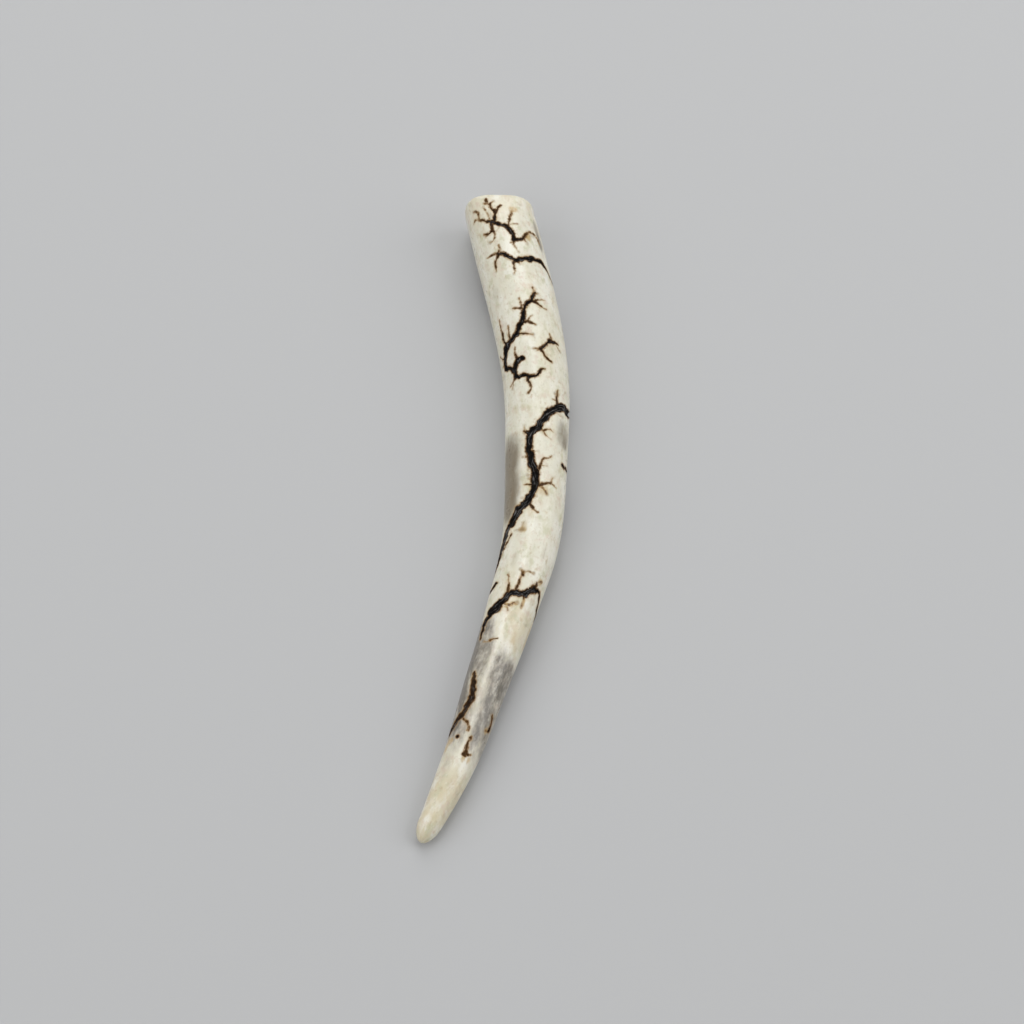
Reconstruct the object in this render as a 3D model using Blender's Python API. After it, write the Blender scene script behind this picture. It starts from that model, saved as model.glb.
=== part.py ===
"""Deer antler tine, sawn off square, polished and decorated with branching burn grooves.

One solid, because a tine grows as one piece. Metres, +Z up. The tine lies on its side: the sawn
butt faces +Y, the worn tip points to -Y, and the bend bulges towards +X. The origin is on the
surface that it lies on, under the middle of its box.
"""
import math

import bmesh
import bpy
import numpy as np
from mathutils import Vector

MM = 0.001

# The middle line and half the width of the tine, butt first, in millimetres:
# (place across, place lengthways, half width)
MIDDLE_LINE = [
    (-3.2, 78.2, 8.25),
    (-0.9, 67.0, 8.3),
    (2.3, 52.0, 8.15),
    (4.8, 38.5, 7.85),
    (5.9, 25.5, 7.5),
    (5.7, 12.0, 7.1),
    (5.2, -2.0, 6.75),
    (3.8, -13.0, 6.35),
    (0.9, -23.5, 5.75),
    (-2.25, -34.4, 5.25),
    (-5.85, -45.5, 4.75),
    (-9.6, -57.6, 4.15),
    (-13.2, -67.0, 3.55),
    (-17.3, -76.0, 2.6),
]
HEIGHT_OVER_WIDTH = 0.92
BUTT_RIM = 1.6           # rounding of the sawn edge
BUTT_SQUARENESS = 0.8    # how far the butt's section is from an ellipse (0) towards a square
BUTT_FLATTENING = 0.055  # share of its height that the tine loses towards the butt
SQUARE_REACH = 14.0      # the squareness and the flattening fade out this far from the butt
SAW_REACH = 16.0         # sections turn to meet the square saw cut over this length
HEADING_REACH = 0.5      # the line's heading is taken this far either way along it
TIP_NOSE = 4.2           # length of the rounded nose past the middle line's last point
NOSE_TAPER = 0.10        # half width that the nose loses per mm, besides its rounding

# Long soft swells left by growth and hand sanding: (height, waves round, turn per mm, start)
SWELLS = [
    (0.09, 2, 0.035, 0.4),
    (0.06, 3, -0.060, 1.9),
    (0.04, 1, 0.170, 0.7),
]

SIDES = 32
RING_STEP = 2.7
RIM_RINGS = 3
NOSE_RINGS = 4

# Burn grooves: (mm from the butt, degrees round from the crest towards the bend's outer side,
# width in mm). The two named under_ lie underneath, and the long ones run on round to there.
GROOVES = {
    "butt_fork": [
        (6.6, -15, 0.6), (8.3, -21, 1.0), (10.2, -2, 1.0), (12.1, 5, 1.2), (14.4, 7, 1.3),
        (14.3, 19, 0.8), (12.8, 29, 0.6),
    ],
    "butt_fork_arm": [(8.4, -23, 0.9), (9.4, -25, 0.7), (10.9, -26, 0.7), (11.1, -38, 0.5)],
    "butt_fork_back": [(8.3, -20, 0.8), (6.5, -15, 0.7), (4.6, -4, 0.5)],
    "collar": [
        (17.3, -25, 0.6), (18.7, -13, 0.9), (20.2, -2, 1.0), (19.8, 24, 1.4), (20.0, 47, 1.0),
        (21.0, 60, 0.9), (25.2, 69, 0.9), (27.0, 84, 1.1), (29.5, 104, 1.3), (33.0, 124, 1.2),
        (39.0, 142, 0.7),
    ],
    "tree": [
        (30.4, 14, 0.6), (32.0, 5, 0.9), (35.0, -9, 1.2), (38.9, -26, 1.5), (40.4, -43, 1.5),
        (41.6, -53, 1.7), (45.4, -64, 1.3), (47.2, -56, 1.3), (48.7, -41, 1.3), (50.4, -36, 1.1),
        (50.6, -22, 0.9), (51.2, -8, 0.6),
    ],
    "tree_hook": [(48.3, -41, 1.2), (46.8, -36, 1.2), (46.3, -25, 1.5)],
    "tree_root": [(50.9, -17, 0.8), (52.4, -15, 0.7), (53.3, -11, 0.7), (55.0, -14, 0.5)],
    "sprig": [
        (42.5, 47, 0.5), (42.0, 35, 0.8), (42.5, 25, 0.7), (44.2, 12, 0.8), (46.3, 20, 0.6),
        (47.4, 30, 0.5),
    ],
    "river": [
        (40.5, 168, 0.9), (46.0, 150, 1.3), (52.0, 128, 1.6), (56.4, 104, 1.8), (58.2, 74, 1.8),
        (57.9, 50, 1.9), (59.3, 30, 1.8), (61.4, 15, 1.6), (64.1, 2, 1.5), (66.0, -13, 1.7),
        (69.8, -16, 1.8), (73.5, -7, 1.9), (78.2, 0, 2.0), (81.6, -9, 1.9), (84.7, -29, 1.9),
        (88.2, -51, 1.8), (92.0, -64, 1.6), (97.5, -80, 1.6), (101.5, -100, 1.5),
        (106.0, -124, 1.2), (111.0, -142, 0.8),
    ],
    "fork": [
        (116.4, -54, 0.8), (112.4, -54, 1.4), (109.2, -33, 2.3), (105.8, -11, 1.3),
        (104.9, 6, 1.2), (104.4, 24, 1.2), (102.7, 43, 1.2), (102.8, 62, 1.2), (104.3, 80, 1.1),
        (107.0, 98, 1.3), (112.0, 120, 1.2), (120.0, 138, 0.7),
    ],
    "tip_crack": [
        (125.2, -43, 0.6), (128.2, -31, 1.3), (131.6, -27, 1.2), (134.8, -44, 1.2),
        (137.8, -57, 1.3), (137.8, -80, 1.2), (134.0, -108, 1.1), (129.0, -128, 0.7),
    ],
    "under_butt": [
        (9.2, -88, 0.6), (11.0, -104, 1.0), (15.5, -120, 1.3), (21.5, -133, 1.4), (24.5, -150, 1.3),
        (22.5, -170, 0.9), (18.0, -184, 0.6),
    ],
    "under_bend": [
        (72.4, 62, 0.7), (71.6, 92, 1.0), (76.0, 116, 1.3), (82.0, 130, 1.5), (86.0, 156, 1.3),
        (92.0, 172, 1.0), (99.0, 184, 0.7),
    ],
}
GROOVE_DEPTH = 0.30      # of a groove's width
GROOVE_STEP = 2.0        # length of a groove's pieces
GROOVE_ROUND = 2         # rows of faces that round each quarter of a groove's bar
RUN_OUT = 0.15           # how far a groove's end rises clear of the surface
TYPICAL_HALF = 7.0       # half width of the tine that turns a groove's degrees into mm
CAP_WELD = 0.00001       # metres, joins a bar's caps to its tube

SHARP_EDGE = math.radians(40)
IVORY = (0.76, 0.72, 0.60, 1.0)


def clear_scene():
    for thing in list(bpy.data.objects):
        bpy.data.objects.remove(thing, do_unlink=True)


def new_collection(name):
    group = bpy.data.collections.new(name)
    bpy.context.scene.collection.children.link(group)
    return group


def natural_cubic(knots, values):
    """A smooth curve through values at knots, as a function of the distance along it."""
    gaps = np.diff(knots)
    slopes = np.diff(values, axis=0) / gaps[:, None]
    matrix = np.eye(len(knots))
    right = np.zeros_like(values)
    for i in range(1, len(knots) - 1):
        matrix[i, i - 1 : i + 2] = gaps[i - 1], 2 * (gaps[i - 1] + gaps[i]), gaps[i]
        right[i] = 6 * (slopes[i] - slopes[i - 1])
    bend = np.linalg.solve(matrix, right)

    def curve(t):
        i = int(np.clip(np.searchsorted(knots, t) - 1, 0, len(gaps) - 1))
        gap, past, left = gaps[i], t - knots[i], knots[i + 1] - t
        straight = (values[i] * left + values[i + 1] * past) / gap
        here = bend[i] * (left**3 / gap - gap * left)
        there = bend[i + 1] * (past**3 / gap - gap * past)
        return straight + (here + there) / 6

    return curve


def smooth_step(x):
    x = min(max(x, 0.0), 1.0)
    return x * x * (3 - 2 * x)


class Tine:
    """The tine's outer form. Lengths are in millimetres, angles in degrees from the crest."""

    def __init__(self):
        line = np.array(MIDDLE_LINE)
        knots = np.concatenate([[0.0], np.cumsum(np.hypot(*np.diff(line[:, :2], axis=0).T))])
        self.curve = natural_cubic(knots, line)
        self.last = knots[-1]
        self.length = self.last + TIP_NOSE
        self.centre = (0.0, 0.0)
        self.floor = 0.0

    def section(self, along):
        """Middle, sideways direction, half width, half height and squareness of a section."""
        on_line = min(max(along, 0.0), self.last)
        across, lengthways, half = self.curve(on_line)
        before = self.curve(max(on_line - HEADING_REACH, 0.0))
        after = self.curve(min(on_line + HEADING_REACH, self.last))
        heading = Vector((after[0] - before[0], after[1] - before[1], 0)).normalized()
        at_butt = smooth_step(1 - along / SQUARE_REACH)
        height_share = HEIGHT_OVER_WIDTH * (1 - BUTT_FLATTENING * at_butt)
        middle = Vector((across, lengthways, half * height_share)) + heading * (along - on_line)
        heading = heading.lerp(Vector((0, -1, 0)), smooth_step(1 - along / SAW_REACH)).normalized()
        past_line = max(along - self.last, 0.0)
        nose = min(past_line / TIP_NOSE, 1.0)
        rim = max(1 - along / BUTT_RIM, 0.0)
        half = (half - NOSE_TAPER * past_line) * math.sqrt(1 - nose**2)
        half -= BUTT_RIM * (1 - math.sqrt(1 - rim**2))
        power = 2 / (2 + BUTT_SQUARENESS * at_butt)
        return middle, Vector((-heading.y, heading.x, 0)), half, half * height_share, power

    def point(self, along, around, lift=0.0):
        """A point of the surface, or one held lift above it."""
        middle, sideways, half, half_height, power = self.section(along)
        turn = math.radians(around)
        sine, cosine = math.sin(turn), math.cos(turn)
        sine = math.copysign(abs(sine) ** power, sine)
        cosine = math.copysign(abs(cosine) ** power, cosine)
        swell = sum(h * math.cos(n * turn + rate * along + start) for h, n, rate, start in SWELLS)
        swollen = 1 + swell / MIDDLE_LINE[0][2]
        out = sideways * sine * half * swollen + Vector((0, 0, cosine * half_height * swollen))
        place = middle + out + out.normalized() * lift if lift else middle + out
        return Vector((place.x - self.centre[0], place.y - self.centre[1], place.z - self.floor)) * MM

    def stand_on_origin(self, stations):
        """Moves the form so that its box stands on the origin."""
        points = [self.point(a, 360 * k / SIDES) / MM for a in stations for k in range(SIDES)]
        low = [min(p[i] for p in points) for i in range(3)]
        high = [max(p[i] for p in points) for i in range(3)]
        self.centre = ((low[0] + high[0]) / 2, (low[1] + high[1]) / 2)
        self.floor = low[2]


def ring_stations(tine):
    """Distances of the loft's sections from the butt: close at the rim and the nose."""
    rim = [BUTT_RIM * (1 - math.cos(math.pi / 2 * k / RIM_RINGS)) for k in range(RIM_RINGS)]
    body_count = round((tine.last - BUTT_RIM) / RING_STEP)
    body = [BUTT_RIM + (tine.last - BUTT_RIM) * k / body_count for k in range(body_count + 1)]
    turns = [math.pi / 2 * k / (NOSE_RINGS + 1) for k in range(1, NOSE_RINGS + 1)]
    nose = [tine.last + TIP_NOSE * math.sin(turn) for turn in turns]
    return rim + body + nose


def make_tine_body(tine, stations):
    """Lofts the sections into one closed skin, flat at the butt and pointed at the nose."""
    mesh = bmesh.new()
    rings = [[mesh.verts.new(tine.point(a, 360 * k / SIDES)) for k in range(SIDES)] for a in stations]
    for ring, following in zip(rings, rings[1:]):
        for k in range(SIDES):
            after = (k + 1) % SIDES
            mesh.faces.new((ring[k], ring[after], following[after], following[k]))
    mesh.faces.new(list(reversed(rings[0])))
    nose = mesh.verts.new(tine.point(tine.length, 0))
    for k in range(SIDES):
        mesh.faces.new((rings[-1][k], rings[-1][(k + 1) % SIDES], nose))
    bmesh.ops.recalc_face_normals(mesh, faces=mesh.faces)
    data = bpy.data.meshes.new("antler_tine")
    mesh.to_mesh(data)
    mesh.free()
    return data


def groove_path(points):
    """Points every GROOVE_STEP between the groove's own points, with the width at each."""
    path = [points[0]]
    for (a0, r0, w0), (a1, r1, w1) in zip(points, points[1:]):
        length = math.hypot(a1 - a0, math.radians(r1 - r0) * TYPICAL_HALF)
        count = max(1, round(length / GROOVE_STEP))
        for k in range(1, count + 1):
            t = k / count
            path.append((a0 + (a1 - a0) * t, r0 + (r1 - r0) * t, w0 + (w1 - w0) * t))
    return path


def make_groove_cutter(name, points, tine, group):
    """A round bar that sinks into the surface and leaves a groove of the stated width."""
    path = groove_path(points)
    curve = bpy.data.curves.new(name, "CURVE")
    curve.dimensions = "3D"
    curve.bevel_depth = MM
    curve.bevel_resolution = GROOVE_ROUND
    curve.use_fill_caps = True
    spline = curve.splines.new("POLY")
    spline.points.add(len(path) - 1)
    for i, (along, around, width) in enumerate(path):
        depth = GROOVE_DEPTH * width
        radius = (width**2 / 4 + depth**2) / (2 * depth)
        at_end = i in (0, len(path) - 1)
        lift = radius + RUN_OUT if at_end else radius - depth
        spline.points[i].co = (*tine.point(along, around, lift), 1.0)
        spline.points[i].radius = radius
    bar = bpy.data.objects.new(name + "_curve", curve)
    group.objects.link(bar)
    solid = bpy.data.meshes.new_from_object(bar.evaluated_get(bpy.context.evaluated_depsgraph_get()))
    ends = bmesh.new()
    ends.from_mesh(solid)
    bmesh.ops.remove_doubles(ends, verts=ends.verts, dist=CAP_WELD)
    ends.to_mesh(solid)
    ends.free()
    cutter = bpy.data.objects.new(name, solid)
    cutter.matrix_world = bar.matrix_world
    group.objects.link(cutter)
    bpy.data.objects.remove(bar, do_unlink=True)
    cutter.hide_render = True
    cutter.display_type = "WIRE"
    return cutter


def make_ivory():
    material = bpy.data.materials.new("polished_antler")
    material.use_nodes = True
    shader = material.node_tree.nodes["Principled BSDF"]
    shader.inputs["Base Color"].default_value = IVORY
    shader.inputs["Roughness"].default_value = 0.35
    shader.inputs["Metallic"].default_value = 0.0
    return material


def main():
    clear_scene()
    parts = new_collection("deer_antler_tine")
    cutters = new_collection("groove_cutters")
    tine = Tine()
    stations = ring_stations(tine)
    tine.stand_on_origin(stations)
    body = bpy.data.objects.new("antler_tine", make_tine_body(tine, stations))
    parts.objects.link(body)
    body.data.materials.append(make_ivory())
    body.data.shade_smooth()
    body.data.set_sharp_from_angle(angle=SHARP_EDGE)
    for name, points in GROOVES.items():
        cut = body.modifiers.new("groove " + name, "BOOLEAN")
        cut.operation = "DIFFERENCE"
        cut.object = make_groove_cutter("cut_" + name, points, tine, cutters)


main()
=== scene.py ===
# %% [markdown]
# # A polished deer antler tine with branching burns
#
# The real thing is one piece of bone: a side point sawn off a deer's antler, sanded smooth,
# burned with a high-voltage current and waxed. The current crawls over the damp surface and
# chars grooves that fork like rivers, with brown scorch at their fine ends. This lesson takes
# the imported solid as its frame, stretches a fine skin over it, carves the burns into the skin
# and gives it the finish of old polished antler.

# %% Load the frame
import math
import random

import bmesh
import bpy
import numpy as np
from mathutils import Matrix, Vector, noise
from mathutils.bvhtree import BVHTree


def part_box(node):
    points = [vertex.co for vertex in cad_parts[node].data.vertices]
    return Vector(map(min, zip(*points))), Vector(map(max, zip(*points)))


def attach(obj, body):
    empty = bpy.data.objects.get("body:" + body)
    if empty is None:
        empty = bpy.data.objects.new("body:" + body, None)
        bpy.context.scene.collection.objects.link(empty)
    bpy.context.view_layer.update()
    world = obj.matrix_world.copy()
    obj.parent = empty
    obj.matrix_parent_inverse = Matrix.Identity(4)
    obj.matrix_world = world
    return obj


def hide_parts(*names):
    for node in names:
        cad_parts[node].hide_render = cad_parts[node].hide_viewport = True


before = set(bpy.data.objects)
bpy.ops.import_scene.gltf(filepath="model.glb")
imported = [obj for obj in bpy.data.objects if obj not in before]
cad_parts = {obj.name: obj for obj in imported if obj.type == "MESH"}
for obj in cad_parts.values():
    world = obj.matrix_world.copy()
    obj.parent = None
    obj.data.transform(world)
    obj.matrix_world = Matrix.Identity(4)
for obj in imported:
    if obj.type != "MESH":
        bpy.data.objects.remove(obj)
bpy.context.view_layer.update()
MM = 0.001
TINE = "antler_tine"
low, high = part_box(TINE)
print("solid from the frame, mm:", [round(v / MM, 2) for v in high - low])

# %% [markdown]
# ## Measuring the tine
#
# The skin has to lie on the solid that the frame holds, so its form is measured and not
# guessed. First comes the middle line. Looking square through the tine at many places along
# it, the left and right walls give the middle across, and the top and the underside give the
# height. A smooth curve through those middles is the line that everything is placed along.

# %% Find the middle line
SAW_REACH = 16.0    # the sections turn over this length to lie flat on the square saw cut
CUT_CLEAR = 0.8     # the middle line is read from this far from the cut
END_CLEAR = 4.0     # up to this far from the tip
GRAZE = 2.0         # a height that is inside the tine all the way along
ACROSS_TERMS, HEIGHT_TERMS = 11, 7    # of the two curves through the middles

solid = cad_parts[TINE].data
walls = BVHTree.FromPolygons(
    [vertex.co / MM for vertex in solid.vertices],
    [tuple(face.vertices) for face in solid.polygons],
)
low, high = low / MM, high / MM


def wall_hit(start, direction):
    """The first point of the solid's wall on a ray, in millimetres."""
    return walls.ray_cast(Vector(start), Vector(direction))[0]


def middle_at(lengthways):
    """The middle of the tine, across and in height, at one place along Y."""
    up = GRAZE
    for _ in range(4):
        left = wall_hit((low.x - 1, lengthways, up), (1, 0, 0))
        right = wall_hit((high.x + 1, lengthways, up), (-1, 0, 0))
        across = (left.x + right.x) / 2
        top = wall_hit((across, lengthways, high.z + 1), (0, 0, -1))
        under = wall_hit((across, lengthways, low.z - 1), (0, 0, 1))
        up = (top.z + under.z) / 2
    return across, up


lengthways = np.linspace(high.y - CUT_CLEAR, low.y + END_CLEAR, 220)
middles = np.array([middle_at(y) for y in lengthways])
across_fit = np.polynomial.Chebyshev.fit(lengthways, middles[:, 0], ACROSS_TERMS)
height_fit = np.polynomial.Chebyshev.fit(lengthways, middles[:, 1], HEIGHT_TERMS)
line_y = np.linspace(high.y, low.y + END_CLEAR, 800)
LINE = np.stack([across_fit(line_y), line_y, height_fit(line_y)], -1)
steps = np.linalg.norm(np.diff(LINE, axis=0), axis=1)
LINE_ALONG = np.concatenate([[0.0], np.cumsum(steps)])
LAST = LINE_ALONG[-1]
heading = LINE[-1] - LINE[-2]
heading = heading / np.linalg.norm(heading)
tip_point = wall_hit(LINE[-1], heading)
LENGTH = LAST + (tip_point - Vector(LINE[-1])).length
print("along the curve, mm:", round(LENGTH, 1))

# %% [markdown]
# Every place on the tine then has two plain numbers: how many millimetres it is from the saw
# cut, and how many degrees it is round from the crest, towards the outer side of the bend. The
# next cell turns such numbers into points. An antler's section is a flattened round, so the
# direction of a ray is flattened with it.


# %% Sections along the middle line
PAST_RIM = 3.0    # millimetres from the cut: the tine has its full width here
section_height = high.z - low.z


def smooth_step(x):
    """0 up to 0 and 1 from 1 on, with a soft rise between them."""
    x = np.clip(x, 0.0, 1.0)
    return x * x * (3 - 2 * x)


def unit(rows):
    """The same directions, each of length 1."""
    return rows / np.maximum(np.linalg.norm(rows, axis=-1, keepdims=True), 1e-12)


def width_at(lengthways):
    """The tine's width at one place along Y, at half its height."""
    left = wall_hit((low.x - 1, lengthways, section_height / 2), (1, 0, 0))
    right = wall_hit((high.x + 1, lengthways, section_height / 2), (-1, 0, 0))
    return right.x - left.x


LINE_HEADING = unit(np.gradient(LINE[:, :2], axis=0))
square_on = smooth_step(1 - LINE_ALONG / SAW_REACH)[:, None]
LINE_HEADING = unit(LINE_HEADING * (1 - square_on) + np.array([0.0, -1.0]) * square_on)
section_width = width_at(high.y - PAST_RIM)
FLATNESS = round(section_height / section_width, 2)
print("section height over width:", FLATNESS)


def section(along):
    """Middle and sideways direction of the sections at along, an array of millimetres."""
    on_line = np.clip(along, 0.0, LAST)
    middle = np.stack([np.interp(on_line, LINE_ALONG, LINE[:, i]) for i in range(3)], -1)
    middle = middle + (along - on_line)[:, None] * heading
    ahead = np.stack([np.interp(on_line, LINE_ALONG, LINE_HEADING[:, i]) for i in range(2)], -1)
    ahead = unit(ahead)
    sideways = np.stack([-ahead[:, 1], ahead[:, 0], np.zeros(len(ahead))], -1)
    return middle, sideways


def outward(sideways, angle):
    """Flattened outward direction at an angle from the crest."""
    up = np.array([0.0, 0.0, FLATNESS])
    return sideways * np.sin(angle)[:, None] + up * np.cos(angle)[:, None]


# %% [markdown]
# Rays from the middle line to the wall give the size of the tine all round. The solid already
# has the main burn grooves, and the skin will be carved afresh, so they are bridged first: the
# measured form is smoothed, and wherever it dips clearly below its own smooth version it takes
# that version's size, again and again. The rest of it stays as measured.

# %% Measure the form and bridge its grooves
RIM_CLEAR = 1.9      # the rounded saw edge is left out of the measuring
NOSE = 4.2           # and so is the rounded nose at the tip
WAVES = 5            # a section keeps lumps down to a fifth of its way round
SMOOTH_OVER = 2.2    # millimetres along
SHALLOW = 0.06       # a dip deeper than this is a groove
FORM_STEP = 0.6      # millimetres between measured sections

FORM_ALONG = np.arange(RIM_CLEAR, LENGTH - NOSE, FORM_STEP)
FORM_ANGLE = np.linspace(-np.pi, np.pi, 96, endpoint=False)
middle, sideways = section(FORM_ALONG)
sizes = np.zeros((len(FORM_ALONG), len(FORM_ANGLE)))
for k, angle in enumerate(FORM_ANGLE):
    rays = outward(sideways, np.full(len(FORM_ALONG), angle))
    for i, (start, ray) in enumerate(zip(middle, rays)):
        found = wall_hit(start, ray)
        sizes[i, k] = (found - Vector(start)).length / np.linalg.norm(ray)

BELL_REACH = int(3 * SMOOTH_OVER / FORM_STEP)
bell = np.exp(-0.5 * (np.arange(-BELL_REACH, BELL_REACH + 1) * FORM_STEP / SMOOTH_OVER) ** 2)
bell = bell / bell.sum()


def smoothed(rows):
    """The form with only its long lumps left."""
    ring = np.fft.rfft(rows, axis=1)
    ring[:, WAVES + 1:] = 0
    rows = np.fft.irfft(ring, rows.shape[1], axis=1)
    before = 2 * rows[:1] - rows[BELL_REACH:0:-1]
    after = 2 * rows[-1:] - rows[-2:-BELL_REACH - 2:-1]
    padded = np.concatenate([before, rows, after])
    return np.stack([np.convolve(column, bell, "valid") for column in padded.T], -1)


bridged = sizes.copy()
for _ in range(4):
    bridged = np.maximum(bridged, smoothed(bridged))
for _ in range(25):
    fit = smoothed(bridged)
    bridged = np.where(sizes < fit - SHALLOW, fit, sizes)
FORM_WAVES = np.fft.rfft(smoothed(bridged), axis=1)[:, :WAVES + 1] / len(FORM_ANGLE)
print("deepest groove bridged, mm:", round(float((bridged - sizes).max()), 2))

# %% [markdown]
# The form is kept as a few waves round each section, so it can be asked for anywhere. The two
# ends have their own profiles: the saw cut has a sanded rim, a quarter round, and the tip ends
# in a blunt nose, worn by the living deer.

# %% The size of the skin anywhere
def form_size(along, angle):
    """Half width of the smooth form, before the ends are rounded, in millimetres. Past the
    measured stretch it stays as at its end."""
    size = np.zeros(len(along))
    for n in range(WAVES + 1):
        real = np.interp(along, FORM_ALONG, FORM_WAVES[:, n].real)
        imaginary = np.interp(along, FORM_ALONG, FORM_WAVES[:, n].imag)
        turn = n * (angle - FORM_ANGLE[0])
        weight = 1 if n == 0 else 2
        size += weight * (real * np.cos(turn) - imaginary * np.sin(turn))
    return size


RIM = round((section_width - width_at(high.y - 0.01)) / 2, 1)
last_sizes = FORM_WAVES[:, 0].real[FORM_ALONG > LENGTH - NOSE - 8]
NOSE_TAPER = float(last_sizes[0] - last_sizes[-1]) / ((len(last_sizes) - 1) * FORM_STEP)
print("rounding of the sawn rim, mm:", RIM, " taper at the nose:", round(NOSE_TAPER, 3))


def skin_points(along, angle, spread):
    """Points of the uncarved skin. spread is 1 on the sides and falls to 0 at the cut's middle."""
    middle, sideways = section(along)
    size = form_size(along, angle)
    rim = np.clip(1 - along / RIM, 0, 1)
    size = size - RIM * (1 - np.sqrt(1 - rim ** 2))
    into_nose = np.clip(along - LENGTH + NOSE, 0, NOSE)
    size = (size - NOSE_TAPER * into_nose) * np.sqrt(1 - (into_nose / NOSE) ** 2)
    return middle + outward(sideways, angle) * (size * spread)[:, None]


# %% [markdown]
# ## The camera
#
# The photograph looks down on the tine from over its tip, steeply, with a short telephoto. The
# camera stands where that view comes from. Nothing in the model depends on it.

# %% Camera
CAMERA_HEIGHT_DEG = 62.0
CAMERA_DISTANCE = 548.0 * MM
CAMERA_LENS = 85.0
AIM = Vector((3.46, 1.03, 0.07)) * MM    # it looks at this place

camera = bpy.data.objects.new("camera", bpy.data.cameras.new("camera"))
bpy.context.scene.collection.objects.link(camera)
camera.data.lens = CAMERA_LENS
camera.data.sensor_width = 36.0
camera.data.clip_start = 0.01
tilt = math.radians(CAMERA_HEIGHT_DEG)
camera.location = AIM + Vector((0, -math.cos(tilt), math.sin(tilt))) * CAMERA_DISTANCE
camera.rotation_euler = (math.pi / 2 - tilt, 0, 0)
bpy.context.scene.camera = camera

# %% [markdown]
# ## The burns
#
# A burn is a tree of lines on the skin. Each line is a list of places, read off the tine as
# millimetres from the cut and degrees from the crest, with the width at its two ends and how
# black it is: 1 is charred, 0.3 is only scorched brown. The widest ones, such as the long river
# over the bend, give a width at each place instead.

# %% A place to collect the burns
BURNS = []
TWIG_WEIGHT = 0.86    # of a twig's width as read off, which takes in its singed rim


def branch(black, first_width, last_width, *places):
    """One burned line that narrows from its first width to its last, and gets browner."""
    count = max(len(places) - 1, 1)
    line = []
    for i, (along, round_) in enumerate(places):
        part = i / count
        width = TWIG_WEIGHT * (first_width + (last_width - first_width) * part)
        line.append((along, round_, width, black * (1.1 - 0.5 * part)))
    BURNS.append(line)


def trunk(black, *places):
    """One burned line with its own width at each place."""
    BURNS.append([(along, round_, width, black) for along, round_, width in places])


# %% [markdown]
# The fork at the butt: a knot with arms all round it, and a thick leg that steps down towards
# the collar.

# %% Burns at the butt
trunk(0.94, (8.3, -22, 0.9), (8.8, -17, 0.8), (9.6, -10, 0.8), (10.2, -2, 0.9), (10.8, 1, 0.95),
      (12.1, 5, 1.0), (13.3, 7, 1.05), (14.4, 6, 1.1), (14.5, 13, 0.85), (14.3, 20, 0.75))
branch(0.80, 0.8, 0.55, (14.3, 20), (13.5, 25), (12.6, 30), (11.9, 38))
branch(0.42, 0.7, 0.5, (11.9, 38), (12.0, 44), (12.5, 51), (13.3, 56), (14.4, 58))
branch(0.3, 0.5, 0.3, (14.4, 22), (15.0, 26), (15.6, 28))
branch(0.72, 0.65, 0.4, (14.4, 6), (15.4, 4), (16.2, 4))
branch(0.45, 0.5, 0.3, (16.2, 4), (17.1, 7), (18.1, 9))
branch(0.6, 0.4, 0.3, (15.1, 4), (15.2, -1))
branch(0.92, 0.85, 0.7, (8.0, -17), (6.8, -14), (5.8, -13), (5.2, -11))
branch(0.72, 0.7, 0.5, (5.4, -11), (4.6, -5), (3.9, 0))
branch(0.85, 0.65, 0.6, (5.6, -14), (5.0, -18), (3.6, -20))
branch(0.55, 0.65, 0.5, (3.6, -20), (2.8, -23), (2.0, -23))
branch(0.55, 0.5, 0.35, (3.6, -19), (3.1, -15), (2.7, -11))
branch(0.40, 0.6, 0.3, (3.4, -21), (3.2, -28))
branch(0.46, 0.4, 0.3, (7.9, -24), (7.0, -25), (6.0, -26), (4.9, -28))
branch(0.30, 0.4, 0.3, (4.9, -28), (4.0, -29))
branch(0.85, 0.8, 0.4, (8.3, -22), (7.9, -30), (7.3, -37), (6.8, -43))
branch(0.55, 0.55, 0.45, (6.8, -43), (5.8, -41), (5.0, -41))
branch(0.28, 0.6, 0.4, (5.1, -41), (4.5, -45), (4.4, -49))
branch(0.34, 0.5, 0.35, (6.6, -44), (6.4, -50), (6.8, -56))
branch(0.9, 0.9, 0.55, (8.4, -24), (9.2, -25), (10.8, -26))
branch(0.85, 0.6, 0.35, (10.8, -26), (11.1, -33), (11.1, -37), (10.8, -41))
branch(0.6, 0.4, 0.3, (11.1, -36), (11.5, -40))
branch(0.7, 0.5, 0.3, (10.8, -25), (11.9, -23), (12.7, -24), (13.4, -29), (13.5, -34))
branch(0.35, 0.4, 0.3, (10.0, -11), (10.6, -15), (11.2, -20))
branch(0.7, 0.6, 0.45, (10.2, -1), (9.8, 3), (8.7, 6), (7.3, 9), (6.7, 13), (5.8, 15))
branch(0.3, 0.45, 0.3, (9.9, 3), (9.8, 11), (9.8, 18))

# %% [markdown]
# The collar is a line that goes straight round the tine, thickest on the outer side, and runs on
# underneath.

# %% Burns of the collar
trunk(1.0, (17.2, -26, 0.6), (17.5, -18, 0.8), (18.7, -13, 0.9), (19.6, -5, 0.9), (20.3, -1, 1.0),
      (20.2, 7, 0.9), (19.9, 15, 1.2), (19.8, 25, 1.7), (19.9, 33, 1.1), (19.9, 41, 1.0),
      (20.0, 49, 1.1), (21.0, 60, 0.8), (22.4, 66, 0.6), (23.6, 73, 0.5), (24.4, 82, 0.5),
      (25.6, 94, 0.9), (29.0, 111, 1.3), (33.0, 126, 1.2), (36.0, 135, 0.9), (39.0, 142, 0.6))
branch(0.6, 0.5, 0.35, (17.3, -25), (16.8, -34), (17.0, -41), (16.7, -49))
branch(0.8, 0.6, 0.35, (17.3, -25), (18.5, -30), (19.4, -34), (20.4, -35), (21.5, -36))
branch(0.4, 0.5, 0.35, (17.2, -23), (15.6, -21), (15.0, -21))
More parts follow.
